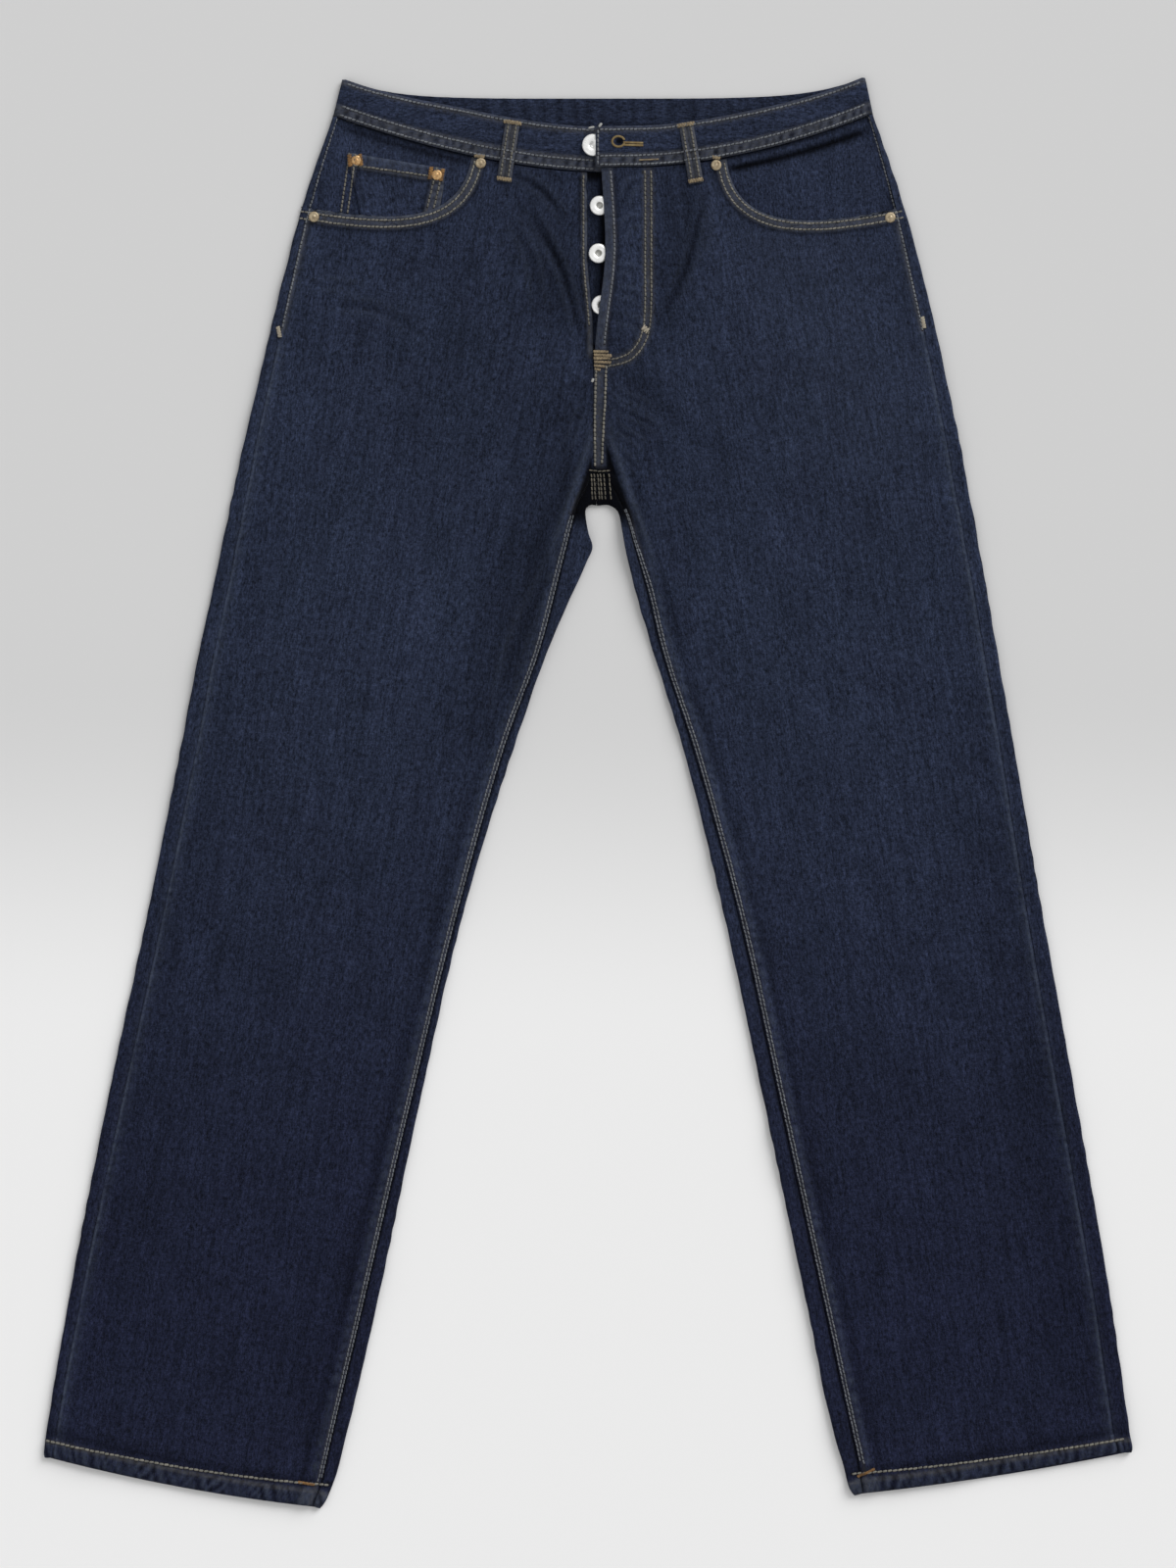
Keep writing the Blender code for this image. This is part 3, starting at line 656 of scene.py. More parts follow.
def hem_edge(relief, along, up, from_inseam, seed, row):
    """Turned-up hem: fine upright puckers with painted shade in their troughs, a soft sag above it in
    painted shade and a pale lump at the inseam.
    """
    band = 1 - ease((up - row - 0.6) / 1.8)
    pucker = wave(along * 1.45 + up * 0.35, seed) * 0.75 + 0.25 * rope(along, up, seed)
    ripple = wave(along, seed)
    lump = (1 - ease((from_inseam - 11) / 3)) * ease((from_inseam + 1.5) / 1.5) * band
    lump = lump * (0.7 + 0.3 * np.sin(from_inseam * 1.9 + up * 0.9) * np.sin(up * 1.6))
    height = 0.7 * band + 0.4 * pucker * band * ease(up / 3) - 1.5 * bell(up, 1.6) + row_dip(up, row)
    height = height + 0.4 * ripple * np.exp(-np.maximum(up - row, 0) / 11) * (1 - band)
    relief.add(
        height=height + 0.8 * lump - 0.7 * bell(up - row - 7.5, 3.2),
        rubbed=np.maximum(band * np.clip(0.2 + 0.5 * pucker, 0, 1), (0.9 + 0.3 * ripple) * lump),
        seamed=np.maximum(0.9 * bell(up - row, 1.7), 0.3 * lump),
        shaded=np.maximum(0.42 * bell(up - row - 7, 3.4), band * np.clip(-0.75 * pucker, 0, 1)),
    )


def even_places(stops, steps):
    """Places from the first stop to the last, a given step apart between each two stops."""
    runs = []
    for first, last, step in zip(stops, stops[1:], steps):
        runs.append(np.linspace(first, last, math.ceil((last - first) / step) + 1)[:-1])
    return np.concatenate((*runs, stops[-1:]))


def inseam_directions(section):
    """Unit steps from the inseam fold towards the inseam."""
    step = np.column_stack((section.seam_x - section.in_x, section.seam_y - section.in_y))
    return step / np.linalg.norm(step, axis=1)[:, None]


def below_mouth_curve(edge, x, y):
    """Highest Y that each point may have and stay in order below a pocket mouth, with X outward."""
    mouth_y = np.interp(x, edge[::-1, 0], edge[::-1, 1])
    side_x, side_y = x[:, :1], y[:, :1]
    beside = np.maximum(edge[0, 1] - side_y, 0) * (side_x > edge[0, 0] - 1)
    drop = 0.05 * np.maximum(side_x - x, 0) + 0.9 * beside
    return np.where(x > edge[-1, 0], mouth_y - drop, y)


def fly_relief(relief, x, y, run, away, above_crotch):
    """The fly's turned edge, its J-shaped rows and the stretch of the rise below it."""
    on_fly = ease((y - FLY_END) / 6)
    bound_edge(relief, run, away, 4, (FLY_EDGE_ROW,), 8, where=on_fly * above_crotch, plain=0.25)
    ripple = wave(run * 1.6, 4)
    worn = (0.5 + 0.2 * ripple) * bell(away - 6.6, 1.9) + 0.7 * bell(away - 1, 1.4)
    band = (0.26 + 0.2 * ripple) * (1 - ease((away - 7.4) / 1.6))
    # Painted shade in the groove beside the fly's edge band
    groove = 0.3 * bell(away - 10.6, 1.6)
    relief.add(rubbed=np.maximum(worn, band), shaded=groove, where=on_fly * above_crotch)
    rows = [distance_to(path, x, y)[0] for path in fly_rows()]
    between = bell(rows[0] - ROW_APART / 2, 2) * bell(rows[1] - ROW_APART / 2, 2)
    worn = np.maximum(np.maximum(bell(rows[0], 1.7), bell(rows[1], 1.7)), 0.8 * between)
    relief.add(height=row_dip(rows[0], 0) + row_dip(rows[1], 0), seamed=0.85 * worn)
    below_fly = above_crotch * (1 - on_fly) * bell(away - 3, 5)
    relief.add(height=0.3, seamed=0.75, rubbed=0.25 + 0.2 * wave(run, 6), where=below_fly)


def front_edges(side, places):
    """Outer and inner edge of a front panel down the pocket mouth and the leg, the share of leg in each
    row, and how far its middle hangs below the ends."""
    outward = OUTWARD[side]
    waist, crotch = (-LEGS[side][row].out_y for row in (0, CROTCH_ROW))
    lower = leg_at(side, places)
    on_leg = np.concatenate((np.zeros(MOUTH_ROWS), ease((places - crotch + 4) / 16)))[:, None]
    mouth, _ = mouth_curve(side, np.linspace(1, 0, MOUTH_ROWS + 1)[:-1])
    upper = leg_at(side, np.linspace(waist, MOUTH_PLACE[side], MOUTH_ROWS + 1)[:-1])
    lower_outer = np.column_stack((lower.out_x - outward * (lower.lip + SIDE_GAP), lower.out_y))
    inner_x = np.concatenate((upper.seam_x, lower.seam_x)) + outward * SEAM_GAP / 2
    inner = np.column_stack((inner_x, np.concatenate((upper.seam_y, lower.seam_y))))
    inner[MOUTH_ROWS:] += inseam_directions(lower) * SEAM_GAP * on_leg[MOUTH_ROWS:]
    bow = np.concatenate((np.linspace(WAIST_BOW, 0, MOUTH_ROWS), lower.bow))
    return np.vstack((mouth, lower_outer)), inner, on_leg, bow[:, None]


def front_grid(side):
    """Rows of points down a front panel, and their marks."""
    crotch, hem = (-LEGS[side][row].out_y for row in (CROTCH_ROW, -1))
    start = MOUTH_PLACE[side]
    near_crotch = (crotch - CROTCH_REACH_UP, crotch + CROTCH_REACH)
    stops = (start, start + MOUTH_REACH, *near_crotch, hem - HEM_REACH, hem)
    places = even_places(stops, (MOUTH_STEP, HIP_STEP, CROTCH_STEP, LEG_STEP, HEM_STEP))
    outer, inner, on_leg, bow = front_edges(side, places)
    s = np.linspace(0, 1, FRONT_COLUMNS)
    t = (s - 0.1 * np.sin(math.tau * s))[None, :]
    xy = mix(outer[:, None, :], inner[:, None, :], t[..., None])
    x = xy[..., 0]
    y = xy[..., 1] - 4 * bow * t * (1 - t)
    edge, _ = mouth_curve(side, np.linspace(0, 1, 60))
    y = np.minimum(y, below_mouth_curve(edge * (OUTWARD[side], 1), x * OUTWARD[side], y))
    height, shade, light = top_height(x, y)
    relief = Relief(x.shape)
    # Painted shade and painted highlights of the creases, the crotch and the broad strips
    relief.add(shaded=shade, rubbed=light)

    width = np.linalg.norm(outer - inner, axis=1)[:, None]
    from_side, from_inside = width * t, width * (1 - t)
    side_run, inner_run = (-line[:, 1][:, None] * np.ones_like(t) for line in (outer, inner))
    below_mouth = np.arange(len(x))[:, None] >= MOUTH_ROWS
    above_crotch = 1 - on_leg
    side_seam(relief, side_run, from_side, 1, ease((y - SIDE_ROW_END) / 3), where=below_mouth)
    fell_seam(relief, inner_run, from_inside, SEAM_SEED[side], INSEAM_ROW[side], where=on_leg)
    from_mouth, along = distance_to(edge, x, y)
    bound_edge(relief, along, from_mouth, 3, MOUTH_ROWS_AT[side], MOUTH_BAND[side])
    if side == "left":
        height = height + fly_rise(x, y)
        fly_relief(relief, x, y, inner_run, from_inside, above_crotch)
    else:
        beside_stand = above_crotch * ease((y - 330) / 9)
        bound_edge(relief, inner_run, from_inside, 5, (STAND_ROW,), 4, where=beside_stand)
    up = np.hypot(x - x[-1:], y - y[-1:])
    hem_edge(relief, from_side, up, from_inside, SEAM_SEED[side], HEM_ROW[side])
    from_waist = np.hypot(x - x[:1], y - y[:1])
    # The waist edge: a ripple, and painted shade right under the waistband
    relief.add(height=0.25 * wave(x, 7) * np.exp(-from_waist / 8), shaded=0.5 * bell(from_waist, 2.2))
    return np.dstack((x, y, height + relief.height)), relief.marks


def back_columns(side, places, part, lip):
    """Columns round a back panel: lip, outseam fold, underside, inseam fold and lip, with X, Y and the
    share of the top cloth's height, and last the number of the first column past the underside."""
    outward = OUTWARD[side]
    limit = (CENTRE_X + outward * SEAM_GAP / 2) * outward
    is_leg = places >= -LEGS[side][CROTCH_ROW].out_y
    towards_x, towards_y = inseam_directions(part).T

    def beyond_centre(x):
        return np.maximum(x * outward, limit) * outward

    edge_wave = 0.3 * wave(places / 2.7, 8 + outward)
    folded = []
    for angle in np.linspace(0, math.pi, 10)[1:-1]:
        reach = LEG_FOLD * (1 - math.sin(angle)) + edge_wave * math.sin(angle)
        folded.append((reach, (1 + math.cos(angle)) / 2))
    flat = [(mix(lip, LEG_FOLD, s), 1) for s in np.linspace(0, 1, 9)]
    columns = [(part.out_x - outward * reach, part.out_y, share) for reach, share in flat + folded]
    stop_x = np.where(is_leg, beyond_centre(part.in_x + towards_x * LEG_FOLD), limit * outward)
    stop_y = np.where(is_leg, part.in_y + towards_y * LEG_FOLD, part.in_y)
    power = 1 + (BACK_WAIST_CURVE - 1) * ease((part.out_y - 367) / 150)
    for s in np.linspace(0, 1, 15):
        y = stop_y + (part.out_y - stop_y) * (1 - s) ** power - 4 * part.bow * s * (1 - s)
        columns.append((mix(part.out_x - outward * LEG_FOLD, stop_x, s), y, 0))
    underside_end = len(columns)
    for reach, share in folded:
        x = beyond_centre(part.in_x + towards_x * reach)
        columns.append((x, part.in_y + towards_y * reach, 1 - share))
    seam_x = beyond_centre(part.seam_x)
    for s in np.linspace(0, 1, 9):
        columns.append((mix(stop_x, seam_x, s), mix(stop_y, part.seam_y, s), 1))
    ones = np.ones(len(places))
    x, y, share = (np.array([column[k] * ones for column in columns]).T for k in range(3))
    return x, y, share, underside_end


def back_grid(side):
    """Rows of points down a back panel that is folded round its leg, their marks, and the points above
    the crotch that no panel has."""
    waist, crotch, hem = (-LEGS[side][row].out_y for row in (0, CROTCH_ROW, -1))
    stops = (waist, crotch, crotch + CROTCH_REACH, hem - HEM_REACH, hem)
    places = even_places(stops, (HIP_STEP, CROTCH_STEP, LEG_STEP, HEM_STEP))
    part = leg_at(side, places)
    lip = np.maximum(part.lip, LEG_FOLD + LIP_LEAST)
    x, y, share, underside_end = back_columns(side, places, part, lip)
    height, shade, _ = top_height(x, y)
    relief = Relief(x.shape)
    on_top = (share > 0.5) * 1
    # Painted shade of the creases and the crotch, on the top side only
    relief.add(shaded=shade, where=on_top)
    from_side = np.abs(x - (part.out_x - OUTWARD[side] * lip)[:, None])
    outer_half = np.arange(x.shape[1])[None, :] < underside_end - 8
    relief.add(
        rubbed=0.12 * (1 + wave(places, 1)[:, None]) * bell(from_side - 1.5, 1.5),
        where=outer_half * on_top,
    )
    from_inseam = np.hypot(x - x[:, -1:], y - y[:, -1:])
    ripple = wave(part.seam_y, SEAM_SEED[side])[:, None]
    # Groove along the inseam, in painted shade
    relief.add(
        height=-0.8 * bell(from_inseam, 1.2) + 0.25 * ripple * bell(from_inseam - 3, 3),
        shaded=0.5 * bell(from_inseam, 1.5),
        where=(1 - outer_half) * on_top,
    )
    up = np.hypot(x - x[-1:], y - y[-1:])
    hem = Relief(x.shape)
    hem_edge(hem, x, up, np.where(outer_half, 99, 0), SEAM_SEED[side] + 0.5, HEM_ROW[side])
    relief.height = relief.height + hem.height * on_top
    relief.marks = np.maximum(relief.marks, hem.marks * np.maximum(share, 0.25)[..., None])
    unused = np.zeros(x.shape, bool)
    unused[: int(np.argmax(places >= crotch)), underside_end:] = True
    return np.dstack((x, y, (height + relief.height) * share)), relief.marks, unused


def waist_edge(side, layer, t):
    """Lower edge of the waistband at fractions t from the side to the centre."""
    top = LEGS[side][0]
    start_x = top.out_x - OUTWARD[side] * BAND_FOLD
    if layer == "front":
        stop_x, stop_y, power = BAND_END[side], top.seam_y, FRONT_WAIST_CURVE[side]
    else:
        stop_x, stop_y, power = CENTRE_X, top.in_y, BACK_WAIST_CURVE
    y = stop_y + (top.out_y - stop_y) * (1 - t) ** power
    return mix(start_x, stop_x, t), y + SEAM_GAP


def band_depth(side, layer, t):
    """Depth of the waistband at fractions t from the side to the centre."""
    centre = FRONT_BAND_DEPTH[side] if layer == "front" else BACK_BAND_DEPTH
    return mix(BAND_DEPTH_SIDE, centre, ease(t * 2))


def band_points():
    """Rows round the waistband from its right end at the fly to its left end."""
    v = np.linspace(0, 1, BAND_COLUMNS)
    rows = []

    def straight(side, layer, steps, z):
        for t in steps:
            x, y = waist_edge(side, layer, t)
            depth = band_depth(side, layer, t)
            x = x + BAND_SLANT[side] * (1 - t) * v
            rows.append(np.column_stack((x, y + depth * v, np.full_like(v, z))))

    def fold(side, angles):
        top = LEGS[side][0]
        for angle in angles:
            reach = BAND_FOLD * (1 - math.sin(angle))
            x = top.out_x + BAND_SLANT[side] * v - OUTWARD[side] * reach
            y = top.out_y + SEAM_GAP + BAND_DEPTH_SIDE * v
            z = BAND_TOP * (1 + math.cos(angle)) / 2
            rows.append(np.column_stack((x, y, np.full_like(v, z))))

    front = np.linspace(0, 1, 150)
    back = np.linspace(0, 1, 80)
    angles = np.linspace(0, math.pi, 12)[1:-1]
    straight("right", "front", front[::-1], BAND_TOP)
    fold("right", angles)
    straight("right", "back", back, 0)
    straight("left", "back", back[::-1][1:], 0)
    fold("left", angles[::-1])
    straight("left", "front", front, BAND_TOP)
    return np.array(rows)


def band_seams(relief, run, low, high, on_front):
    """The waistband's edges: one row of stitches above, and two below on a twisted strip of seam, with
    painted shade in the twist's hollows between the rows and just under the band.
    """
    twist = 0.7 * wave(run * 1.2, 9) + 0.3 * rope(run * 1.3, low * 1.2, 9)
    ripple = wave(run, 10)
    seam_strip = 1 - ease((low - 9.4) / 1.6)
    sewn = 0.9 * np.maximum(bell(low - 1.8, 1.7), bell(low - 8, 1.7))
    between = bell(low - 4.9, 2) * np.clip(0.15 - 0.9 * twist, 0, 0.75)
    relief.add(
        height=-1.2 * bell(high, 1.3) + row_dip(high, 3) + 0.2 * ripple * np.exp(-high / 6),
        rubbed=(0.3 + 0.2 * ripple) * bell(high - 1.2, 1.8),
        seamed=0.85 * bell(high - 2.8, 2),
        where=on_front,
    )
    relief.add(
        height=-1.2 * bell(low, 1.2) + row_dip(low, 1.8) + row_dip(low, 8) + 0.3 * twist * seam_strip,
        rubbed=seam_strip * (0.26 + 0.24 * twist),
        seamed=np.maximum(seam_strip * (0.6 + 0.2 * twist), sewn),
        shaded=np.maximum(0.3 * bell(low - 11, 1.5), between),
        where=on_front,
    )


def band_grid():
    """The waistband with its seams, its ends, the buttonhole's eye sunk and painted dark as shade, and its
    inside in upright folds streaked with painted shade.
    """
    points = band_points()
    x, y, z = (points[..., k] for k in range(3))
    on_front = (z > BAND_TOP / 2) * 1
    on_left = np.arange(len(points))[:, None] > len(points) // 2
    run = run_along(points[:, BAND_COLUMNS // 2, :2])[:, None]
    low = np.linspace(0, BAND_WIDE, BAND_COLUMNS)[None, :] + 0 * x
    high = BAND_WIDE - low
    relief = Relief(x.shape)
    band_seams(relief, run, low, high, on_front)
    eye_x, eye_y = BUTTONHOLE["eye"]
    # The buttonhole's eye: sunk, and painted dark as shade
    hole = bell(np.hypot((x - eye_x - 0.8) / 3.4, (y - eye_y) / 2.9) ** 2, 1) * on_front
    relief.add(height=-hole, shaded=hole)
    slack = 0.35 * np.sin(math.tau * run / 83) + 0.2 * np.sin(math.tau * run / 37 + low / 9)
    relief.add(height=slack * ease(low / 9) * ease(high / 6), where=on_front)
    for away in (run[-1] - run, run):
        relief.add(height=-1.2 * bell(away, 1.3), rubbed=0.5 * bell(away - 0.8, 1.4), where=on_front)
    # The inside of the back: upright folds streaked with painted shade, and a little painted shade all
    # over
    inside = 0.5 + 0.5 * np.sin(math.tau * x / 13 + 2.4 * np.sin(x / 23) + 0.06 * low)
    relief.add(height=0.3 * inside, shaded=0.05 + 0.34 * inside ** 3, where=1 - on_front)
    z = z + relief.height + band_rise(x) * on_front * on_left
    return np.dstack((x, y, z)), relief.marks


def facing_grid(side):
    """The cloth that shows in a pocket mouth. It sags a little below the strip under the waistband, with
    painted shade in the sag and right under the waistband.
    """
    outward = OUTWARD[side]
    mouth, normals = mouth_curve(side, np.linspace(0, 0.93, FACING_COLUMNS))
    low = mouth + normals * FACING_BELOW_MOUTH
    low[:, 0] = np.minimum(low[:, 0] * outward, mouth[0, 0] * outward - 5) * outward
    edge_x = float(leg_at(side, np.array([-LEGS[side][0].out_y + 2])).out_x[0])
    along = np.linspace(0, 1, FACING_COLUMNS)
    waist_x = mix(edge_x - outward * 3.4, low[-1, 0], along)
    seam_x, seam_y = waist_edge(side, "front", np.linspace(0, 0.6, 200))
    waist_y = np.interp(waist_x * outward, (seam_x * outward)[::-1], seam_y[::-1]) - 2 * SEAM_GAP
    high = np.column_stack((waist_x, waist_y))
    v = np.linspace(0, 1, 48)[:, None, None]
    xy = mix(high[None], low[None], v)
    from_waist = np.linalg.norm(xy - high[None], axis=2)
    x, y = xy[..., 0], xy[..., 1]
    sag_at, sag = FACING_SAG[side]
    strength = sag * ease(along / 0.12) * ease((1 - along) / 0.15)
    under_mouth = ease((v[..., 0] - 0.5) / 0.3)
    under_front = np.minimum(top_height(x, y)[0] - 2.6, 3.6)
    height = mix(3.8 + 0.3 * slack_height(x, y), under_front, under_mouth)
    sunk = ease((from_waist - sag_at + 2) / 4) * (1 - ease((from_waist - sag_at) / 20))
    height = height - 1.5 * strength * sunk
    shaded = np.maximum(strength * bell(from_waist - sag_at - 1.5, 3.4), 0.8 * bell(from_waist, 2.8))
    relief = Relief(x.shape)
    relief.add(shaded=shaded)
    return np.dstack((x, y, height)), relief.marks


# Materials

class Value:
    """A shader value that reads like a number: each operator adds its Math node."""

    def __init__(self, finish, socket):
        self.finish = finish
        self.socket = socket

    def math(self, operation, *others, swap=False):
        terms = [self, *others]
        if swap:
            terms.reverse()
        return self.finish.node("ShaderNodeMath", {"operation": operation}, dict(enumerate(terms)))

    def __add__(self, other):
        return self.math("ADD", other)

    def __radd__(self, other):
        return self.math("ADD", other)

    def __sub__(self, other):
        return self.math("SUBTRACT", other)

    def __rsub__(self, other):
        return self.math("SUBTRACT", other, swap=True)

    def __mul__(self, other):
        return self.math("MULTIPLY", other)

    def __rmul__(self, other):
        return self.math("MULTIPLY", other)

    def __truediv__(self, other):
        return self.math("DIVIDE", other)


class Finish:
    """A material while it is wired. Its place is a point in the object's own coordinates."""

    def __init__(self, name, roughness=0.9, metallic=0, specular=0.3):
        self.material = bpy.data.materials.new(name)
        self.material.use_nodes = True
        self.tree = self.material.node_tree
        self.shader = self.tree.nodes["Principled BSDF"]
        self.set("Roughness", roughness)
        self.set("Metallic", metallic)
        self.set("Specular IOR Level", specular)
        self.place = self.node("ShaderNodeTexCoord", output=3)

    def node(self, kind, settings=None, inputs=None, output=0):
        """Add a node: its settings first, then the values or links of its sockets."""
        made = self.tree.nodes.new(kind)
        for key, value in (settings or {}).items():
            setattr(made, key, value)
        for key, value in (inputs or {}).items():
            self.plug(value, made.inputs[key])
        return Value(self, made.outputs[output])

    def plug(self, value, socket):
        if isinstance(value, Value):
            self.tree.links.new(value.socket, socket)
        else:
            socket.default_value = value

    def set(self, name, value):
        self.plug(value, self.shader.inputs[name])

    def bump(self, strength, distance, height, **under):
        sockets = {"Strength": strength, "Distance": distance, "Height": height, **under}
        return self.node("ShaderNodeBump", {}, sockets)

    def blend(self, factor, first, second, mode="MIX"):
        """Mix two colours."""
        settings = {"data_type": "RGBA", "blend_type": mode}
        return self.node("ShaderNodeMix", settings, {0: factor, 6: first, 7: second}, output=2)

    def noise(self, vector, scale, detail=2, roughness=0.5):
        sockets = {"Vector": vector, "Scale": scale, "Detail": detail, "Roughness": roughness}
        return self.node("ShaderNodeTexNoise", {}, sockets)

    def parts(self, vector, kind="ShaderNodeSeparateXYZ"):
        """The three parts of a vector or of a colour."""
        split = self.node(kind, {}, {0: vector}).socket.node
        return [Value(self, socket) for socket in split.outputs[:3]]

    def stretched(self, vector, scale):
        return self.node("ShaderNodeMapping", {}, {"Vector": vector, "Scale": scale})

    def grey(self, value):
        return self.node("ShaderNodeCombineColor", {}, {0: value, 1: value, 2: value})

    def range(self, value, low, high, to_low=0, to_high=1):
        return self.node("ShaderNodeMapRange", {}, dict(enumerate((value, low, high, to_low, to_high))))

    def smooth_range(self, value, low, high):
        settings = {"interpolation_type": "SMOOTHSTEP"}
        return self.node("ShaderNodeMapRange", settings, {0: value, 1: low, 2: high})


def rgb(colour):
    return (*colour, 1)


def denim_finish(name, cloth, grain, tone=1):
    """Indigo twill: slubby warp, diagonal weave, pale weft, darker towards the hems, and the marks that
    seams leave, with painted highlights and painted shade.
    """
    finish = Finish(name, roughness=0.95, specular=0.03)
    turned = finish.node("ShaderNodeMapping", {}, {"Vector": finish.place, "Rotation": (0, 0, grain)})
    across, along = finish.parts(turned)[:2]

    line = (across + along * 0.55) / cloth.weave
    twill = (line * math.tau).math("SINE") * 0.5 + 0.5
    yarn = (across * (2 * math.tau / cloth.weave)).math("SINE") * 0.5 + 0.5
    slub = finish.noise(finish.stretched(turned, (820, 300, 300)), 1, 2, 0.6)
    pick = finish.noise(finish.stretched(turned, (220, 880, 300)), 1, 2, 0.6)
    streak = finish.noise(finish.stretched(turned, (300, 14, 200)), 1, 2, 0.5)
    fine = finish.noise(turned, 1300, 2, 0.7)
    cloud = finish.noise(turned, 30, 3, 0.55)
    broad = finish.noise(turned, 6, 2, 0.5)

    shade = finish.range(slub, 0.25, 0.75, 0.22, 1.78)
    for layer, reach, dark, pale in (
        (fine, 0.25, 0.64, 1.36), (pick, 0.25, 0.70, 1.30), (streak, 0.25, 0.72, 1.28),
        (cloud, 0.2, 0.92, 1.08), (broad, 0.2, 0.93, 1.08),
    ):
        shade = shade * finish.range(layer, 0.5 - reach, 0.5 + reach, dark, pale)
    indigo = rgb([channel * tone for channel in cloth.indigo])
    colour = finish.blend(1, indigo, finish.grey(shade), "MULTIPLY")
    low = finish.smooth_range(finish.parts(finish.place)[1], 0.16, -0.42)
    colour = finish.blend(low, colour, finish.blend(1, colour, rgb(cloth.hem_tone), "MULTIPLY"))
    weft = twill * twill * yarn * finish.range(fine, 0.35, 0.75, 0, 0.16)
    colour = finish.blend(weft, colour, rgb(cloth.weft))

    marks = finish.node("ShaderNodeAttribute", {"attribute_name": "marks"})
    rubbed, seamed, shaded = finish.parts(marks, "ShaderNodeSeparateColor")
    patches = finish.range(finish.noise(turned, 330, 3, 0.7), 0.3, 0.7, 0.45, 1.25)
    # Wear with painted highlights, then seaming, then painted shade
    colour = finish.blend(rubbed * patches * 0.5, colour, rgb(cloth.rubbed))
    colour = finish.blend(seamed * patches * 0.45, colour, rgb(cloth.seamed))
    colour = finish.blend(shaded * 0.96, colour, rgb(cloth.shaded))
    finish.set("Base Color", colour)
    relief = twill * 0.5 + yarn * 0.2 + slub * 1.3 + fine * 0.7
    weave = finish.bump(0.7, 0.0004, relief)
    crumple = finish.noise(turned, 95, 3, 0.55) + finish.noise(turned, 36, 2, 0.5) * 1.6
    finish.set("Normal", finish.bump(0.45, 0.0014, crumple, Normal=weave))
    finish.set("Sheen Weight", 0.02)
    finish.set("Sheen Roughness", 0.5)
    return finish.material


def thread_finish(name, colour, stain):
    """Twisted thread, unevenly stained by the indigo."""
    finish = Finish(name, roughness=0.75, specular=0.2)
    patches = finish.range(finish.noise(finish.place, 240, 3, 0.65), 0.32, 0.68)
    twist = finish.noise(finish.place, 2600, 1, 0.5)
    base = finish.blend(patches, rgb(stain), rgb(colour))
    dark = rgb([channel * 0.55 for channel in colour])
    base = finish.blend(finish.range(twist, 0.35, 0.65, 0.45, 0), base, dark)
    finish.set("Base Color", base)
    finish.set("Normal", finish.bump(0.5, 0.0002, twist))
    return finish.material


def finish_speckle(finish, dark, light):
    speckle = finish.noise(finish.place, 900, 2, 0.6)
    finish.set("Base Color", finish.blend(speckle, rgb(dark), rgb(light)))
    return finish.material


def metal_finish(name, colour, dull, roughness, metallic):
    """Plated metal with fine scratches and duller patches."""
    finish = Finish(name, roughness=roughness, metallic=metallic, specular=0.5)
    patches = finish.noise(finish.place, 420, 4, 0.6)
    scratches = finish.noise(finish.stretched(finish.place, (4000, 500, 500)), 1)
    base = finish.blend(finish.range(patches, 0.4, 0.7), rgb(colour), rgb(dull))
    finish.set("Base Color", base)
    finish.set("Roughness", finish.range(patches, 0.3, 0.7, roughness * 0.8, roughness * 1.4))
    finish.set("Normal", finish.bump(0.15, 0.0001, scratches))
    return finish.material


def floor_finish(far, near):
    """Pale matt ground with painted light: it grows a little lighter towards the hems."""
    finish = Finish("floor", roughness=0.95, specular=0.1)
    share = finish.smooth_range(finish.parts(finish.place)[1], 0.09, -0.19)
    finish.set("Base Color", finish.blend(share, rgb(far), rgb(near)))
    return finish.material


# Sewing

def spaced(path, pitch):
    """Even steps along a path of points, each as a middle and a unit direction."""
    path = np.asarray(path, float)
    run = run_along(path)
    count = max(1, int(run[-1] / pitch))
    at = (np.arange(count) + 0.5) * run[-1] / count
    middle, ahead, behind = (
        np.column_stack([np.interp(at + on, run, path[:, k]) for k in (0, 1)]) for on in (0, 0.5, -0.5))
    direction = ahead - behind
    return middle, direction / np.linalg.norm(direction, axis=1)[:, None]


class ClothTops:
    """Finds the height of the highest cloth above a point."""

    def __init__(self, names):
        self.trees = []
        for name in names:
            mesh = bpy.data.objects[name].data
            corners = [vert.co for vert in mesh.vertices]
            self.trees.append(BVHTree.FromPolygons(corners, [face.vertices for face in mesh.polygons]))

    def height(self, x, y):
        best = 0
        for beside in (0, 0.8, -0.8):
            above = Vector(((x + beside) * MM, y * MM, ABOVE_ALL))
            for tree in self.trees:
                hit = tree.ray_cast(above, Vector((0, 0, -1)))[0]
                if hit is not None:
                    best = max(best, hit.z)
            if best > 2 * MM:
                break
        return best / MM


def stitch_shape():
    """One stitch as a small closed grain, 1 long, 1 wide and 1 high."""
    bm = bmesh.new()
    bmesh.ops.create_uvsphere(bm, u_segments=5, v_segments=6, radius=0.5)
    turn = Matrix.Rotation(math.pi / 2, 3, "Y")
    bmesh.ops.rotate(bm, verts=bm.verts, cent=(0, 0, 0), matrix=turn)
    for vert in bm.verts:
        swell = 1 + 2.2 * vert.co.x ** 2
        vert.co.y *= swell
        vert.co.z *= swell
    return mesh_from(bm, "stitch_shape")


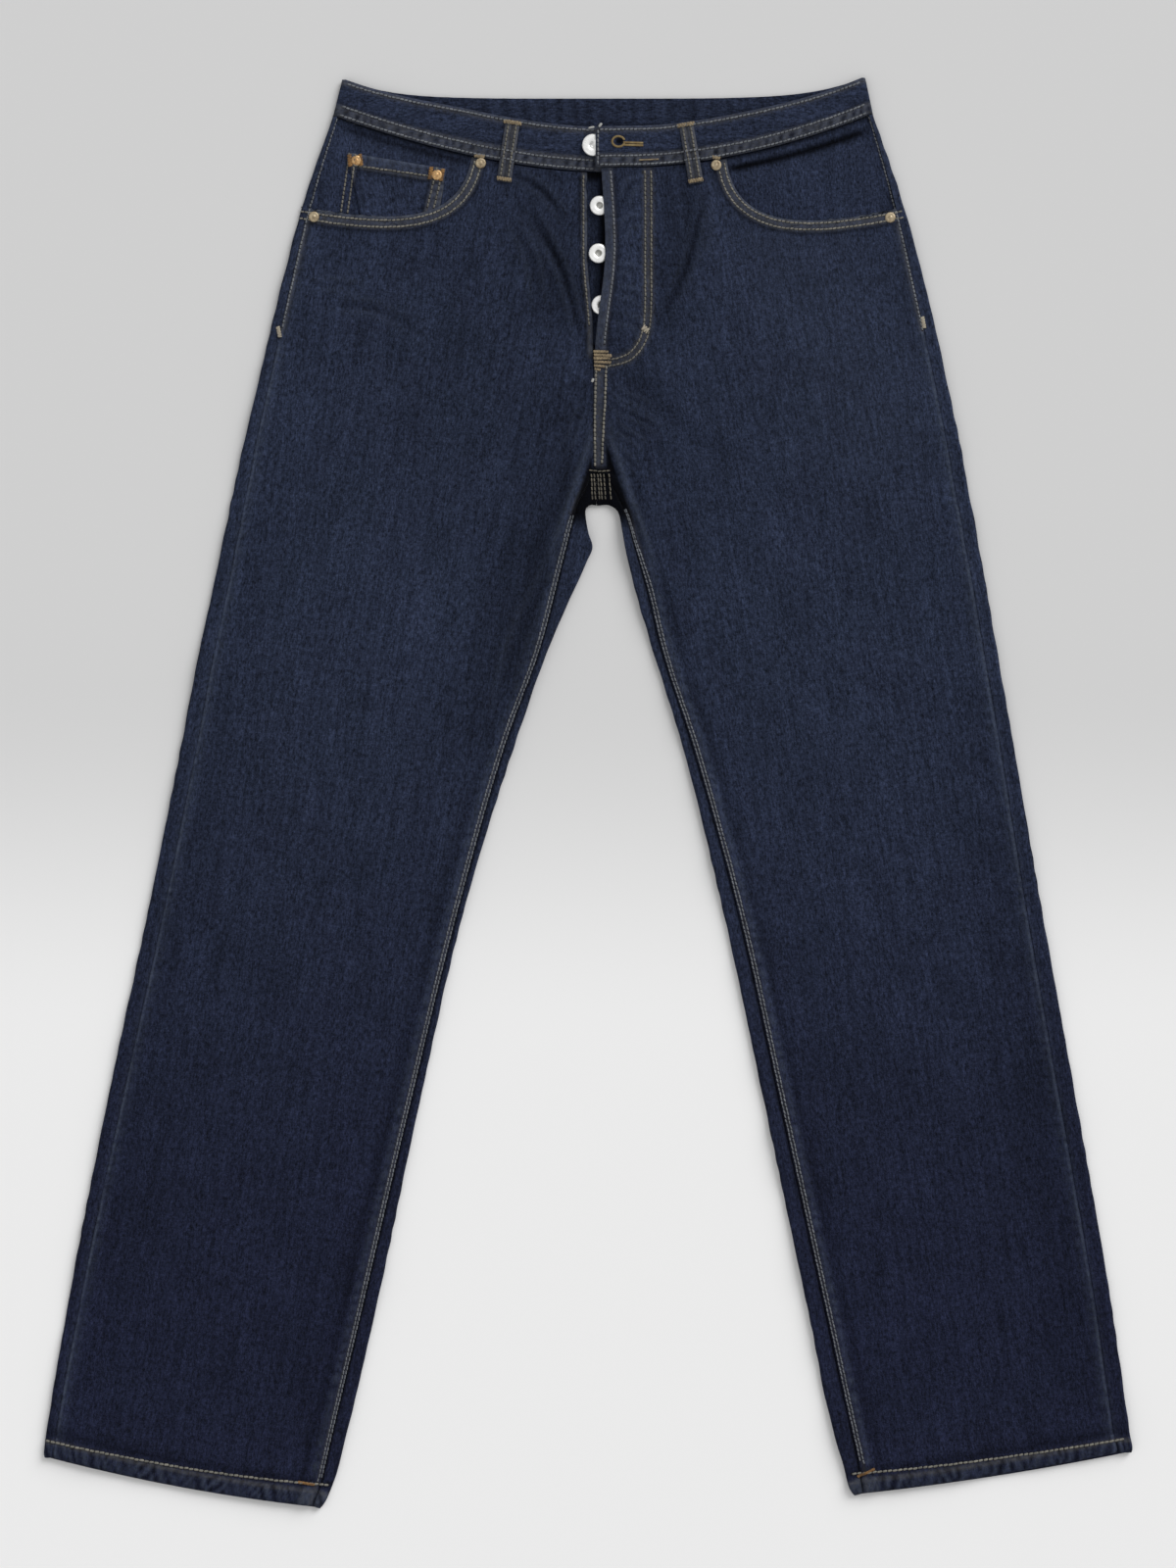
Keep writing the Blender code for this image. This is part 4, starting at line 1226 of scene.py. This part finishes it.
def stitches(name, places, finish):
    """Many stitches joined in one mesh. A place is middle, direction, length, width and height."""
    shape = stitch_shape()
    corners = np.array([vert.co for vert in shape.vertices])
    faces = [list(face.vertices) for face in shape.polygons]
    bpy.data.meshes.remove(shape)
    all_corners = []
    all_faces = []
    for number, (middle, direction, length, width, height) in enumerate(places):
        along = Vector(direction).normalized()
        side = Vector((-along.y, along.x, 0)).normalized()
        up = along.cross(side)
        basis = np.array((along * length, side * width, up * height))
        all_corners.append(corners @ basis + np.array(middle))
        all_faces += [[corner + number * len(corners) for corner in face] for face in faces]
    mesh = bpy.data.meshes.new(name)
    mesh.from_pydata((np.vstack(all_corners) * MM).tolist(), [], all_faces)
    mesh.shade_smooth()
    return add_piece(name, mesh, finish)


def running_stitches(tops, path, pitch, thread):
    """Places of one row of stitches lying on the cloth, and of the flat dark marks between them that paint
    shade into the needle holes.
    """
    places = []
    holes = []
    middles, directions = spaced(path, pitch)
    length = pitch * 0.95
    for (x, y), (dx, dy) in zip(middles, directions):
        uneven = math.sin(x * 5.3 + y * 7.1)
        x, y = x - dy * 0.12 * uneven, y + dx * 0.12 * uneven
        half = length / 2
        first = tops.height(x - dx * half, y - dy * half)
        last = tops.height(x + dx * half, y + dy * half)
        z = max(tops.height(x, y), (first + last) / 2) + thread * 0.2
        slope = max(min(last - first, 1.2), -1.2)
        lean = 0.1 + 0.07 * math.sin(x * 3.7 - y * 4.9)
        direction = (dx * length - dy * lean * length, dy * length + dx * lean * length, slope)
        places.append(((x, y, z), direction, length * (1 + 0.07 * uneven), thread, thread * 0.6))
        end_x, end_y = x + dx * pitch / 2, y + dy * pitch / 2
        holes.append(((end_x, end_y, last), (dx, dy, 0), pitch * 0.28, thread * 1.05, 0.3))
    return places, holes


def bar_tack(tops, start, stop, width, thread):
    """A dense bar of stitches across the line from start to stop."""
    start = np.array(start, float)
    stop = np.array(stop, float)
    length = float(np.linalg.norm(stop - start))
    run = (stop - start) / length
    across = np.array((-run[1], run[0]))
    count = max(3, round(length / (thread * 0.72)))
    places = []
    for k in range(count):
        x, y = start + run * (k + 0.5) / count * length
        z = tops.height(x, y) + thread * 0.4
        lean = run * 0.16 * (1 if k % 2 else -1)
        places.append(((x, y, z), (*(across + lean), 0), width, thread, thread * 0.9))
    return places


def leg_line(side, edge, inset, first, last, step=4):
    """A line down a leg, inset from the outseam's or the inner edge of the front panel."""
    outward = OUTWARD[side]
    places = np.arange(first, last, step)
    part = leg_at(side, places)
    if edge == "outer":
        x = part.out_x - outward * (part.lip + inset)
        return np.column_stack((x, part.out_y))
    towards = inseam_directions(part)
    crotch = -LEGS[side][CROTCH_ROW].out_y
    is_leg = (places >= crotch)[:, None]
    step_in = np.where(is_leg, towards, np.array((outward, 0)))
    return np.column_stack((part.seam_x, part.seam_y)) + step_in * inset


def hem_line(side, up):
    """A line across the hem's front, a distance up from its fold."""
    part = leg_at(side, np.array([-LEGS[side][-1].out_y, -LEGS[side][-1].out_y - up]))
    t = np.linspace(-0.035, 1.03, 60)
    outer = np.array((part.out_x[1] - OUTWARD[side] * part.lip[1], part.out_y[1]))
    inner = np.array((part.seam_x[1], part.seam_y[1]))
    points = mix(outer[None], inner[None], t[:, None])
    points[:, 1] -= 4 * part.bow[1] * t * (1 - t)
    return points


def band_line(side, up, first, last):
    """A line along the front of the waistband, a distance up from its lower edge."""
    t = np.linspace(first, last, 120)
    x, y = waist_edge(side, "front", t)
    depth = band_depth(side, "front", t)
    v = up / depth + (up < 0)
    return np.column_stack((x + BAND_SLANT[side] * (1 - t) * v, y + depth * v))


def waist_rows():
    rows = []
    for side, last in WAIST_ROW_ENDS.items():
        rows += [band_line(side, up, 0.01, last) for up in BAND_ROWS]
    high, low = (band_line("left", up, 0.991, 0.991)[0] for up in BAND_ROWS[:2])
    return [*rows, curve_through([low, high], 12)]


def pocket_rows():
    rows = []
    for side in ("right", "left"):
        mouth, normals = mouth_curve(side, np.linspace(0.02, 0.985, 90))
        outer, inner = MOUTH_ROWS_AT[side]
        rows += [mouth + normals * outer, (mouth + normals * inner)[:-3]]
    return rows


def coin_rows():
    top_left, top_right, low_right, low_left = COIN_CORNERS
    unit = (top_right - top_left) / np.linalg.norm(top_right - top_left)
    start = mix(top_left, low_left, 0.2) + unit * 7
    stop = mix(top_right, low_right, 0.24) - unit * 7
    rows = [curve_through([start, stop], 20)]
    for inset in COIN_ROWS_AT:
        rows.append(curve_through([top_left + unit * inset, low_left + unit * inset], 20))
        rows.append(curve_through([top_right - unit * inset, low_right - unit * inset], 20))
    return rows


def fly_stitching():
    outer, inner = fly_rows()
    return [leg_line("right", "inner", STAND_ROW, -515, -394), outer, inner]


def rise_rows():
    """The two rows below the fly."""
    left = curve_through([(6.2, 324), (5.4, 300), (5.2, 276), (5.4, 250)], 30)
    right = curve_through([(13.9, 327), (13, 300), (11.6, 276), (10.6, 252)], 30)
    return [left, right]


def crotch_rows():
    rows = [curve_through([(0.5, 247.2), (9, 246.2), (17, 246.8)], 12)]
    for top_x, foot_x in ((2.6, 3.2), (4.6, 5.6), (7.4, 8.8), (9.4, 10.6), (12, 13.4), (16, 17.5)):
        rows.append(curve_through([(top_x, 244.5), (foot_x, 224.5)], 8))
    return rows


def side_rows():
    rows = [leg_line(side, "outer", SIDE_ROW, -LEGS[side][0].out_y + 1, -SIDE_ROW_END) for side in LEGS]
    return [*rows, leg_line("left", "inner", FLY_EDGE_ROW, -516, -377)]


def inseam_rows():
    rows = []
    for side in LEGS:
        last = -LEGS[side][-1].out_y - 14
        for apart, first in ((-1.2, -192), (1.2, -190.2)):
            rows.append(leg_line(side, "inner", INSEAM_ROW[side] + apart, first, last))
    return rows


def hem_rows():
    return [hem_line(side, HEM_ROW[side]) for side in LEGS]


def loop_axes(side):
    """Top and foot of a belt loop, the unit step down it and the one across it."""
    loop = BELT_LOOPS[side]
    top = np.array((loop.top_x, loop.top_y))
    foot = np.array((loop.foot_x, loop.foot_y))
    run = (foot - top) / np.linalg.norm(foot - top)
    return top, foot, run, np.array((-run[1], run[0]))


def loop_rows():
    rows = []
    for side in BELT_LOOPS:
        top, foot, run, across = loop_axes(side)
        for aside in (-LOOP_ROW * across, LOOP_ROW * across):
            rows.append(curve_through([top + run + aside, foot - run + aside], 20))
    return rows


def bar_tacks(tops, thread):
    tacks = []
    for side in BELT_LOOPS:
        top, foot, run, across = loop_axes(side)
        for end, half in ((top + run * 1.6, LOOP_HALF + 1.2), (foot - run * 2.2, LOOP_HALF)):
            tacks += bar_tack(tops, end - across * half, end + across * half, 3.2, thread)
    for start, stop, width in TACKS:
        tacks += bar_tack(tops, start, stop, width, thread)
    return tacks


def buttonhole(tops, thread):
    """Keyhole buttonhole: radial stitches round the eye, and two lines of them along the cut."""
    places = []

    def stitch(x, y, direction, length):
        middle = (x, y, tops.height(x, y) + 0.3)
        places.append((middle, direction, length, thread * 0.85, thread * 0.9))

    eye_x, eye_y = BUTTONHOLE["eye"]
    for angle in np.radians(np.linspace(22, 338, BUTTONHOLE["radial"])):
        reach_x = math.cos(angle) * BUTTONHOLE["radius_x"]
        reach_y = math.sin(angle) * BUTTONHOLE["radius_y"]
        stitch(eye_x + reach_x, eye_y + reach_y, (reach_x, reach_y, 0), 1.7)
    for x in np.arange(eye_x + 4.2, BUTTONHOLE["end"], BUTTONHOLE["pitch"]):
        for lift in (-0.95, 0.95):
            stitch(x, eye_y - 1.6 + lift, (0.1, 1, 0), 1.6)
    return places


# Small cloth pieces

def coin_grid():
    """The coin pocket: turned top hem, and side hems that its double rows hold."""
    top_left, top_right, low_right, low_left = COIN_CORNERS
    mouth, normals = mouth_curve("right", np.linspace(*COIN_MOUTH, 60))
    top = mix(top_left, top_right, np.linspace(0, 1, 60)[:, None])
    v = np.linspace(0, 1, 44)[:, None]
    xy = mix(top[None], (mouth + normals * COIN_BELOW_MOUTH)[None], v[..., None])
    x, y = xy[..., 0], xy[..., 1]
    sides = ((top_left, low_left), (top_right, low_right))
    from_sides = [distance_to([high, mix(high, low, 1.4)], x, y)[0] for high, low in sides]
    from_top = distance_to([top_left, top_right], x, y)[0]
    relief = Relief(x.shape)
    bound_edge(relief, y, np.minimum(*from_sides), 12, COIN_ROWS_AT, COIN_BAND, plain=0.45)
    bound_edge(relief, x, from_top, 14, (9.6,), 10.4, plain=0.15)
    height = 4.75 - 0.5 * v ** 3 + 0.25 * slack_height(x * 1.7, y * 1.7)
    return np.dstack((x, y, height + relief.height)), relief.marks


def stand_grid():
    low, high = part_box("button_stand")
    u = np.linspace(low.x / MM, high.x / MM, 26)
    v = np.linspace(high.y / MM, low.y / MM, 80)
    x, y = np.meshgrid(u, v)
    x = np.minimum(x, high.x / MM - np.maximum(STAND_TAPER - y, 0) * 0.5)
    relief = Relief(x.shape)
    # Painted shade that deepens across the stand towards the fly's edge and near the waistband
    deep = np.maximum(0.25 + 0.75 * ease((x - 4) / 9), ease((y - 462) / 10))
    relief.add(shaded=deep, height=0.2 * slack_height(x * 2.2, y * 2.2) - 0.1)
    return np.dstack((x, y, high.z / MM + relief.height)), relief.marks


def loop_grid(side):
    """Strap of a belt loop, slack in the middle and pressed flat at both ends, with painted shade down its
    middle and its edges paler with wear and painted highlight.
    """
    top, foot, _, across = loop_axes(side)
    t = np.linspace(0, 1, 60)[:, None]
    w = np.linspace(-LOOP_HALF, LOOP_HALF, 19)[None, :]
    centre = mix(top[None], foot[None], t)
    xy = centre[:, None, :] + across[None, None, :] * w[..., None]
    from_edge = LOOP_HALF - np.abs(w) + 0 * t
    from_end = np.minimum(t, 1 - t) * 50 + 0 * w
    ripple = wave(t * 80, 13)
    relief = Relief(from_edge.shape)
    relief.add(
        height=0.35 * bell(from_edge - 2.6, 1.5) - bell(from_edge, 0.9) - 0.45 * bell(w + 0 * t, 1),
        rubbed=0.5 * bell(from_edge - 1.6, 1.4) + 0.22 + 0.2 * ripple,
        seamed=1,
        shaded=0.4 * bell(w + 0 * t, 1),
    )
    relief.add(height=-0.9 * bell(from_end, 1.4) - 0.35 * bell(from_end - 4.2, 1.8) + 0.14 * ripple)
    height = 7.2 + 1.7 * np.sin(math.pi * t) ** 2
    return np.dstack((xy[..., 0], xy[..., 1], height + relief.height)), relief.marks


# Turned metal

def turned_mesh(name, profile, middle, dimple=0, steps=40):
    """A round piece spun from its profile of radius and height, from the top down. The faces of a
    dimple, given by its radius, take the piece's second finish."""
    bm = bmesh.new()
    verts = [bm.verts.new((radius * MM, 0, height * MM)) for radius, height in profile]
    edges = [bm.edges.new(pair) for pair in zip(verts, verts[1:])]
    bmesh.ops.spin(
        bm, geom=[*verts, *edges], cent=(0, 0, 0), axis=(0, 0, 1),
        angle=math.tau, steps=steps, use_merge=True)
    bmesh.ops.remove_doubles(bm, verts=bm.verts, dist=0.000005)
    bmesh.ops.recalc_face_normals(bm, faces=bm.faces)
    for face in bm.faces:
        centre = face.calc_center_median()
        face.material_index = int(face.normal.z > 0 and math.hypot(centre.x, centre.y) < dimple * MM)
    bmesh.ops.translate(bm, verts=bm.verts, vec=middle)
    return mesh_from(bm, name)


def button_profile(radius, height):
    """Shank button: a fat rounded ring with a sunk dimple, on a short post."""
    ring = ((0, 0.46), (0.16, 0.46), (0.23, 0.52), (0.28, 0.72), (0.36, 0.88), (0.5, 0.97), (0.66, 1),
            (0.82, 0.96), (0.93, 0.86), (0.99, 0.72), (1, 0.62), (0.97, 0.52), (0.88, 0.45), (0.45, 0.38),
            (0.4, 0.12), (0.55, 0), (0, 0))
    return [(radius * r, height * h) for r, h in ring]


def rivet_profile(radius, height):
    """Rivet: a low dished cap round the burr of its post."""
    cap = ((0, 1), (0.14, 0.98), (0.27, 0.86), (0.34, 0.62), (0.44, 0.55), (0.6, 0.66), (0.76, 0.66),
           (0.9, 0.48), (0.98, 0.22), (1, 0), (0, 0))
    return [(radius * r, height * h) for r, h in cap]


# Settings

def tint(name, description, default):
    """A colour that the panel shows."""
    return FloatVectorProperty(
        name=name, description=description, subtype="COLOR", min=0, max=1, default=default)


def measure(name, description, default, smallest, largest):
    """A length in metres that the panel shows."""
    return FloatProperty(
        name=name, description=description, unit="LENGTH", precision=5, default=default,
        min=smallest, max=largest)


class JeansSettings(bpy.types.PropertyGroup):
    indigo: tint("Indigo", "Colour of the warp", (0.0158, 0.0213, 0.0412))
    weft: tint("Weft", "Colour of the pale yarn between the warp", (0.16, 0.18, 0.22))
    # Wear at ridges and edges, and painted highlights on crease and crotch ridges and on broad strips
    rubbed: tint("Rubbed", "Colour of rubbed ridges and edges", (0.085, 0.105, 0.150))
    seamed: tint("Seamed", "Colour of the cloth between and under stitches", (0.090, 0.086, 0.078))
    # Painted shade: the near-black laid deep in seams, creases, hollows and the buttonhole's eye
    shaded: tint("Shaded", "Colour of unfaded cloth deep in seams and creases", (0.0008, 0.0009, 0.0015))
    hem_tone: tint("Tone at the hems", "How dark the lower legs are beside the hips", (0.565, 0.52, 0.635))
    thread: tint("Thread", "Colour of the topstitching", (0.225, 0.212, 0.180))
    leg_thread: tint("Leg thread", "Colour of the stitches down the legs", (0.165, 0.175, 0.195))
    tack: tint("Bar tacks", "Colour of most bar tacks", (0.32, 0.25, 0.155))
    rust: tint(
        "Rust tacks", "Colour of the bar tacks on the coin pocket and the hems", (0.27, 0.145, 0.05))
    gold: tint("Buttonhole", "Colour of the buttonhole's thread", (0.25, 0.19, 0.09))
    button: tint("Buttons", "Colour of the buttons", (0.96, 0.96, 0.95))
    rivet: tint("Rivets", "Colour of the rivets", (0.40, 0.33, 0.22))
    coin_rivet: tint("Coin pocket rivets", "Colour of the coin pocket's rivets", (0.56, 0.36, 0.17))
    weave: measure("Weave", "Distance between two lines of the twill", 0.0009, 0.0003, 0.005)
    denim: measure("Denim", "Thickness of the denim", 0.0011, 0.0005, 0.003)
    thread_width: measure("Thread width", "Width of the topstitching", 0.00145, 0.0002, 0.002)
    stitch: measure("Stitch", "Distance between two stitches", 0.0032, 0.001, 0.008)


def cloth_finish(name, grain, tone=1):
    found = bpy.data.materials.get(name)
    return found or denim_finish(name, bpy.context.scene.jeans, grain, tone)


def add_cloth(name, points, marks, finish, nodes, thickness=None, flip=False, unused=None):
    """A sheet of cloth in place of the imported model's nodes."""
    piece = add_piece(name, sheet_mesh(name, points, marks, flip, unused), finish, nodes)
    return thicken(piece, thickness or bpy.context.scene.jeans.denim)


# Pieces

class JEANS_OT_stage(bpy.types.Operator):
    """Floor, soft light and a camera straight above"""
    bl_idname = "jeans.stage"
    bl_label = "Stage"

    def execute(self, context):
        bm = bmesh.new()
        bmesh.ops.create_grid(bm, x_segments=1, y_segments=1, size=FLOOR_HALF)
        mesh = mesh_from(bm, "floor")
        mesh.materials.append(floor_finish(FLOOR_FAR, FLOOR_NEAR))
        floor = add_object("floor", mesh)
        floor.location.z = -FLOOR_BELOW

        for name, place, angle, energy in LIGHTS:
            light = bpy.data.lights.new(name, "SUN")
            light.angle = math.radians(angle)
            light.energy = energy
            lamp = add_object(name, light)
            lamp.location = place
            lamp.rotation_euler = (-Vector(place)).to_track_quat("-Z", "Y").to_euler()
        world = bpy.data.worlds.new("studio")
        world.use_nodes = True
        background = world.node_tree.nodes["Background"]
        background.inputs["Color"].default_value = (1, 1, 1, 1)
        background.inputs["Strength"].default_value = WORLD_LIGHT
        context.scene.world = world
        context.scene.view_settings.view_transform = "Standard"

        lens = bpy.data.cameras.new("camera")
        lens.sensor_width = SENSOR
        lens.lens = lens.sensor_width * CAMERA_HEIGHT / PICTURE_LONG
        camera = add_object("camera", lens)
        camera.location = (0, CAMERA_Y, CAMERA_HEIGHT)
        context.scene.camera = camera
        return {"FINISHED"}


class JEANS_OT_legs(bpy.types.Operator):
    """Front and back panels of both legs, with their creases, seams and hems"""
    bl_idname = "jeans.legs"
    bl_label = "Legs"

    def execute(self, context):
        for side in ("right", "left"):
            finish = cloth_finish("denim_" + side, LEG_GRAIN * OUTWARD[side])
            points, marks = front_grid(side)
            nodes = ["front_panel_" + side]
            front = add_cloth(side + "_front", points, marks, finish, nodes, flip=side == "left")
            points, marks, unused = back_grid(side)
            nodes = ["back_panel_" + side]
            back = add_cloth(
                side + "_back", points, marks, finish, nodes, flip=side == "right", unused=unused)
        return {"FINISHED"}


class JEANS_OT_waistband(bpy.types.Operator):
    """Waistband, open at the fly"""
    bl_idname = "jeans.waistband"
    bl_label = "Waistband"

    def execute(self, context):
        points, marks = band_grid()
        finish = cloth_finish("denim_band", math.pi / 2, 1.02)
        band = add_cloth("band", points, marks, finish, ["waistband"], thickness=BAND_CLOTH, flip=True)
        return {"FINISHED"}


class JEANS_OT_pockets(bpy.types.Operator):
    """Pocket facings and the coin pocket"""
    bl_idname = "jeans.pockets"
    bl_label = "Pockets"

    def execute(self, context):
        for side in ("right", "left"):
            finish = cloth_finish("denim_facing_" + side, FACING_GRAIN * OUTWARD[side], 1.03)
            points, marks = facing_grid(side)
            nodes = ["pocket_facing_" + side]
            facing = add_cloth(
                side + "_facing", points, marks, finish, nodes, flip=side == "left")

        points, marks = coin_grid()
        finish = cloth_finish("denim_coin", LEG_GRAIN, 1.12)
        coin = add_cloth(
            "coin_pocket_cloth", points, marks, finish, ["coin_pocket"], thickness=COIN_CLOTH)
        return {"FINISHED"}


class JEANS_OT_fly(bpy.types.Operator):
    """Button stand behind the fly"""
    bl_idname = "jeans.fly"
    bl_label = "Fly"

    def execute(self, context):
        points, marks = stand_grid()
        finish = cloth_finish("denim_stand", 0, 0.9)
        stand = add_cloth("stand_cloth", points, marks, finish, ["button_stand"])
        return {"FINISHED"}


class JEANS_OT_loops(bpy.types.Operator):
    """Two front belt loops"""
    bl_idname = "jeans.loops"
    bl_label = "Belt loops"

    def execute(self, context):
        finish = cloth_finish("denim_loop", 0, 1.1)
        for side in BELT_LOOPS:
            points, marks = loop_grid(side)
            nodes = ["belt_loop_" + side]
            loop = add_cloth(side + "_loop", points, marks, finish, nodes, thickness=LOOP_CLOTH)
        return {"FINISHED"}


class JEANS_OT_sewing(bpy.types.Operator):
    """Topstitching, bar tacks and the buttonhole"""
    bl_idname = "jeans.sewing"
    bl_label = "Sewing"

    def execute(self, context):
        settings = context.scene.jeans
        thread = settings.thread_width / MM
        pitch = settings.stitch / MM
        tops = ClothTops([
            "right_front", "left_front", "right_back", "left_back", "band", "right_facing",
            "left_facing", "coin_pocket_cloth", "stand_cloth", "right_loop", "left_loop"])
        tan = thread_finish("topstitch", settings.thread, (0.075, 0.075, 0.07))
        dim = thread_finish("old_topstitch", [0.8 * part for part in settings.thread], (0.06, 0.06, 0.057))
        pale = thread_finish("leg_stitch", settings.leg_thread, (0.06, 0.065, 0.075))
        plain = thread_finish("bar_tack", settings.tack, (0.09, 0.07, 0.05))
        rust = thread_finish("rust_tack", settings.rust, (0.07, 0.04, 0.025))
        light = thread_finish("pale_tack", (0.42, 0.38, 0.30), (0.22, 0.19, 0.15))
        rough = thread_finish("crotch_stitch", (0.15, 0.135, 0.105), (0.03, 0.03, 0.03))
        gold = thread_finish("buttonhole", settings.gold, (0.13, 0.08, 0.03))
        # The needle holes are flat dark marks of painted shade between the stitches
        hole = Finish("needle_holes", roughness=1, specular=0)
        hole_shade = finish_speckle(hole, (0.004, 0.003, 0.003), (0.02, 0.016, 0.014))

        holes = []
        for name, paths, finish, width, step in (
            ("waist_rows", waist_rows(), pale, thread * 1.05, pitch),
            ("pocket_rows", pocket_rows(), tan, thread, pitch),
            ("coin_rows", coin_rows(), dim, thread, pitch),
            ("fly_stitching", fly_stitching(), dim, thread, pitch),
            ("rise_rows", rise_rows(), tan, thread * 1.3, pitch),
            ("crotch_rows", crotch_rows(), rough, thread * 0.85, pitch),
            ("loop_rows", loop_rows(), dim, thread, pitch),
            ("side_rows", side_rows(), pale, thread, pitch),
            ("inseam_rows", inseam_rows(), pale, thread * 0.8, pitch * 1.1),
            ("hem_rows", hem_rows(), tan, thread * 1.3, pitch * 1.2),
        ):
            places = []
            for path in paths:
                row, between = running_stitches(tops, path, step, width)
                places += row
                holes += between
            stitches(name, places, finish)
        stitches("needle_holes", holes, hole_shade)
        stitches("bar_tacks", bar_tacks(tops, thread), plain)
        for name, table, finish in (("pale_tacks", PALE_TACKS, light), ("rust_tacks", RUST_TACKS, rust)):
            places = [place for tack in table for place in bar_tack(tops, *tack, thread)]
            stitches(name, places, finish)
        stitches("buttonhole", buttonhole(tops, thread), gold)
        loose = thread_finish("thread_end", (0.42, 0.42, 0.41), (0.3, 0.3, 0.29))
        stitches("thread_ends", THREAD_ENDS, loose)
        return {"FINISHED"}


class JEANS_OT_metal(bpy.types.Operator):
    """Shank buttons and rivets"""
    bl_idname = "jeans.metal"
    bl_label = "Metal"

    def execute(self, context):
        settings = context.scene.jeans
        silver = metal_finish("button_metal", settings.button, (0.80, 0.80, 0.79), 0.3, 0.55)
        # The fly buttons' dimples take a grey finish, painted shade in the sunk middle
        sunk = metal_finish("button_dimple", (0.42, 0.42, 0.40), (0.28, 0.28, 0.26), 0.5, 0.4)
        copper = metal_finish("rivet_metal", settings.rivet, (0.17, 0.12, 0.07), 0.5, 0.6)
        golden = metal_finish("coin_rivet_metal", settings.coin_rivet, (0.22, 0.10, 0.03), 0.45, 0.7)
        for node in list(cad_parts):
            low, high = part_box(node)
            middle = ((low.x + high.x) / 2, (low.y + high.y) / 2, low.z)
            radius = (high.x - low.x) / 2 / MM
            height = (high.z - low.z) / MM
            if node.startswith(("waist_button", "fly_button")):
                dimple = radius * DIMPLE if node.startswith("fly") else 0
                mesh = turned_mesh(node + "_cap", button_profile(radius, height), middle, dimple)
                add_piece(node + "_cap", mesh, silver, [node])
                mesh.materials.append(sunk)
            elif node.startswith("rivet"):
                mesh = turned_mesh(node + "_cap", rivet_profile(radius * 0.94, height), middle)
                metal = golden if "coin" in node else copper
                add_piece(node + "_cap", mesh, metal, [node])
        return {"FINISHED"}


class JEANS_PT_pieces(bpy.types.Panel):
    """Lists the pieces and their settings"""
    bl_label = "Jeans"
    bl_idname = "JEANS_PT_pieces"
    bl_space_type = "VIEW_3D"
    bl_region_type = "UI"
    bl_category = "Jeans"

    def draw(self, context):
        for name in JeansSettings.__annotations__:
            self.layout.prop(context.scene.jeans, name)
        for operator in OPERATORS:
            self.layout.operator(operator.bl_idname)


OPERATORS = (
    JEANS_OT_stage,
    JEANS_OT_legs,
    JEANS_OT_waistband,
    JEANS_OT_pockets,
    JEANS_OT_fly,
    JEANS_OT_loops,
    JEANS_OT_sewing,
    JEANS_OT_metal,
)


def register():
    for item in (JeansSettings, *OPERATORS, JEANS_PT_pieces):
        bpy.utils.register_class(item)
    bpy.types.Scene.jeans = PointerProperty(type=JeansSettings)


def unregister():
    del bpy.types.Scene.jeans
    for item in (JEANS_PT_pieces, *reversed(OPERATORS), JeansSettings):
        bpy.utils.unregister_class(item)


def main():
    register()
    bpy.ops.jeans.stage()
    bpy.ops.jeans.legs()
    bpy.ops.jeans.waistband()
    bpy.ops.jeans.pockets()
    bpy.ops.jeans.fly()
    bpy.ops.jeans.loops()
    bpy.ops.jeans.sewing()
    bpy.ops.jeans.metal()


if __name__ == "__main__":
    main()
